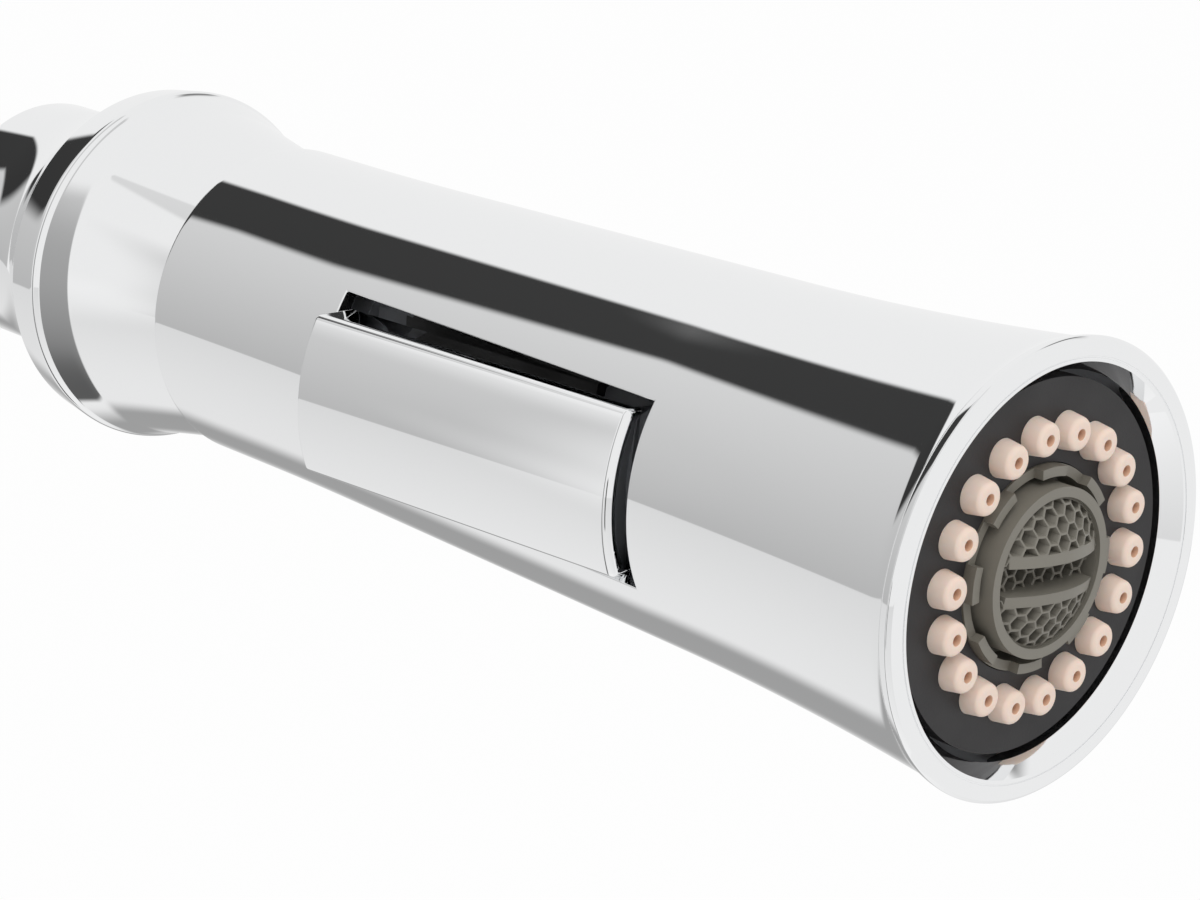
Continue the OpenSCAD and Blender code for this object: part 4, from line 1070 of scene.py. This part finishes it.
def stripShade(tree, height):
    # the strip's tone at each height, as a curve
    shade = tree.nodes.new("ShaderNodeFloatCurve")
    share = calc(tree, "MULTIPLY", calc(tree, "ADD", height, 90.0), 1 / 180)
    link(tree, share, shade.inputs["Value"])
    line = shade.mapping.curves[0]
    for n, (up, value) in enumerate(studio["stripTones"]):
        spot = ((up + 90) / 180, value)
        if n < 2:
            line.points[n].location = spot
        else:
            line.points.new(*spot)
    shade.mapping.update()
    return shade.outputs["Value"]


def buildWorld():
    world = bpy.data.worlds.new("studio")
    bpy.context.scene.world = world
    world.use_nodes = True
    tree = world.node_tree
    nodes = tree.nodes
    place = nodes.new("ShaderNodeTexCoord")
    split = nodes.new("ShaderNodeSeparateXYZ")
    link(tree, place.outputs["Generated"], split.inputs["Vector"])
    maths = partial(calc, tree)
    group = cardGroup()

    def painted(behind, across, up, name, numbers):
        node = nodes.new("ShaderNodeGroup")
        node.node_tree = group
        node.label = name
        if isinstance(behind, float):
            node.inputs["Behind"].default_value = behind
        else:
            link(tree, behind, node.inputs["Behind"])
        link(tree, across, node.inputs["Across"])
        link(tree, up, node.inputs["Up"])
        for label, number in zip(cardLabels, numbers):
            node.inputs[label].default_value = number
        return node.outputs["Tone"]

    x, y, z = split.outputs
    azimuth = maths("MULTIPLY", maths("ARCTAN2", y, x), 180 / math.pi)
    turned = maths("MODULO", maths("ADD", azimuth, 360.0), 360.0)
    height = maths("MULTIPLY", maths("ARCSINE", z), 180 / math.pi)
    tone = studio["around"]
    for name, numbers in studio["cards"].items():
        tone = painted(tone, turned, height, name, numbers)
    alongX, alongY, alongZ = [
        maths("MULTIPLY", axis, share) for axis, share in zip((x, y, z), studio["stripAcross"])
    ]
    along = maths("ADD", maths("ADD", alongX, alongY), alongZ)
    near = maths("MULTIPLY", y, -1.0)
    strip = painted(0.0, along, near, "strip", studio["strip"])
    mix = nodes.new("ShaderNodeMix")
    link(tree, strip, mix.inputs["Factor"])
    link(tree, tone, mix.inputs["A"])
    link(tree, stripShade(tree, height), mix.inputs["B"])
    # the camera itself sees plain white
    path = nodes.new("ShaderNodeLightPath")
    show = nodes.new("ShaderNodeMix")
    link(tree, path.outputs["Is Camera Ray"], show.inputs["Factor"])
    link(tree, mix.outputs["Result"], show.inputs["A"])
    show.inputs["B"].default_value = 1.0
    link(tree, show.outputs["Result"], nodes["Background"].inputs["Color"])


buildWorld()


# the white floor that keeps the shadow, and the one lamp
stage = {
    "half": 12.0,
    "level": -0.26,
    "color": (0.9, 0.9, 0.9),
    "roughness": 0.9,
    "whiteShare": 0.95,
    "lampPower": 1.6,
    "lampSize": 0.5,
    "lampPlace": (0.45, -0.25, 0.55),
    "lampAim": (0.14, 0.0, 0.0),
}


def buildFloor():
    s = stage
    half, level = s["half"], s["level"]
    corners = [(x * half, y * half, level) for x, y in ((-1, -1), (1, -1), (1, 1), (-1, 1))]
    mesh = bpy.data.meshes.new("floor")
    mesh.from_pydata(corners, [], [(0, 1, 2, 3)])
    floor = placed("floor", mesh)
    pale = principled("paleFloor", s["color"], 0.0, s["roughness"])
    tree = pale.node_tree
    path = tree.nodes.new("ShaderNodeLightPath")
    glow = tree.nodes.new("ShaderNodeEmission")
    mix = tree.nodes.new("ShaderNodeMixShader")
    white = calc(tree, "MULTIPLY", path.outputs["Is Camera Ray"], s["whiteShare"])
    link(tree, white, mix.inputs["Fac"])
    link(tree, tree.nodes["Principled BSDF"].outputs["BSDF"], mix.inputs[1])
    link(tree, glow.outputs["Emission"], mix.inputs[2])
    link(tree, mix.outputs["Shader"], tree.nodes["Material Output"].inputs["Surface"])
    mesh.materials.append(pale)
    floor.visible_glossy = False


def buildLamp():
    s = stage
    key = bpy.data.lights.new("keyLight", "AREA")
    key.energy = s["lampPower"]
    key.size = s["lampSize"]
    lamp = placed("keyLight", key)
    lamp.location = s["lampPlace"]
    aim = Vector(s["lampAim"]) - lamp.location
    lamp.rotation_euler = aim.to_track_quat("-Z", "Y").to_euler()
    lamp.visible_glossy = False


buildFloor()
buildLamp()


# the camera, fitted to the photo
view = {
    "position": (0.30926, -0.21749, 0.08092),
    "look": (-0.6777, 0.68549, -0.26613),
    "up": (-0.25131, 0.12421, 0.9599),
    "lens": 96.97,
    "sensor": 36,
    "nearest": 0.01,
}


def buildView():
    data = bpy.data.cameras.new("camera")
    data.lens = view["lens"]
    data.sensor_width = view["sensor"]
    data.clip_start = view["nearest"]
    camera = placed("camera", data)
    look = Vector(view["look"]).normalized()
    side = look.cross(Vector(view["up"])).normalized()
    up = side.cross(look)
    basis = Matrix((side, up, -look)).transposed().to_4x4()
    camera.matrix_world = Matrix.Translation(Vector(view["position"])) @ basis
    scene = bpy.context.scene
    scene.camera = camera
    scene.view_settings.view_transform = "Standard"


buildView()
print("studio set")
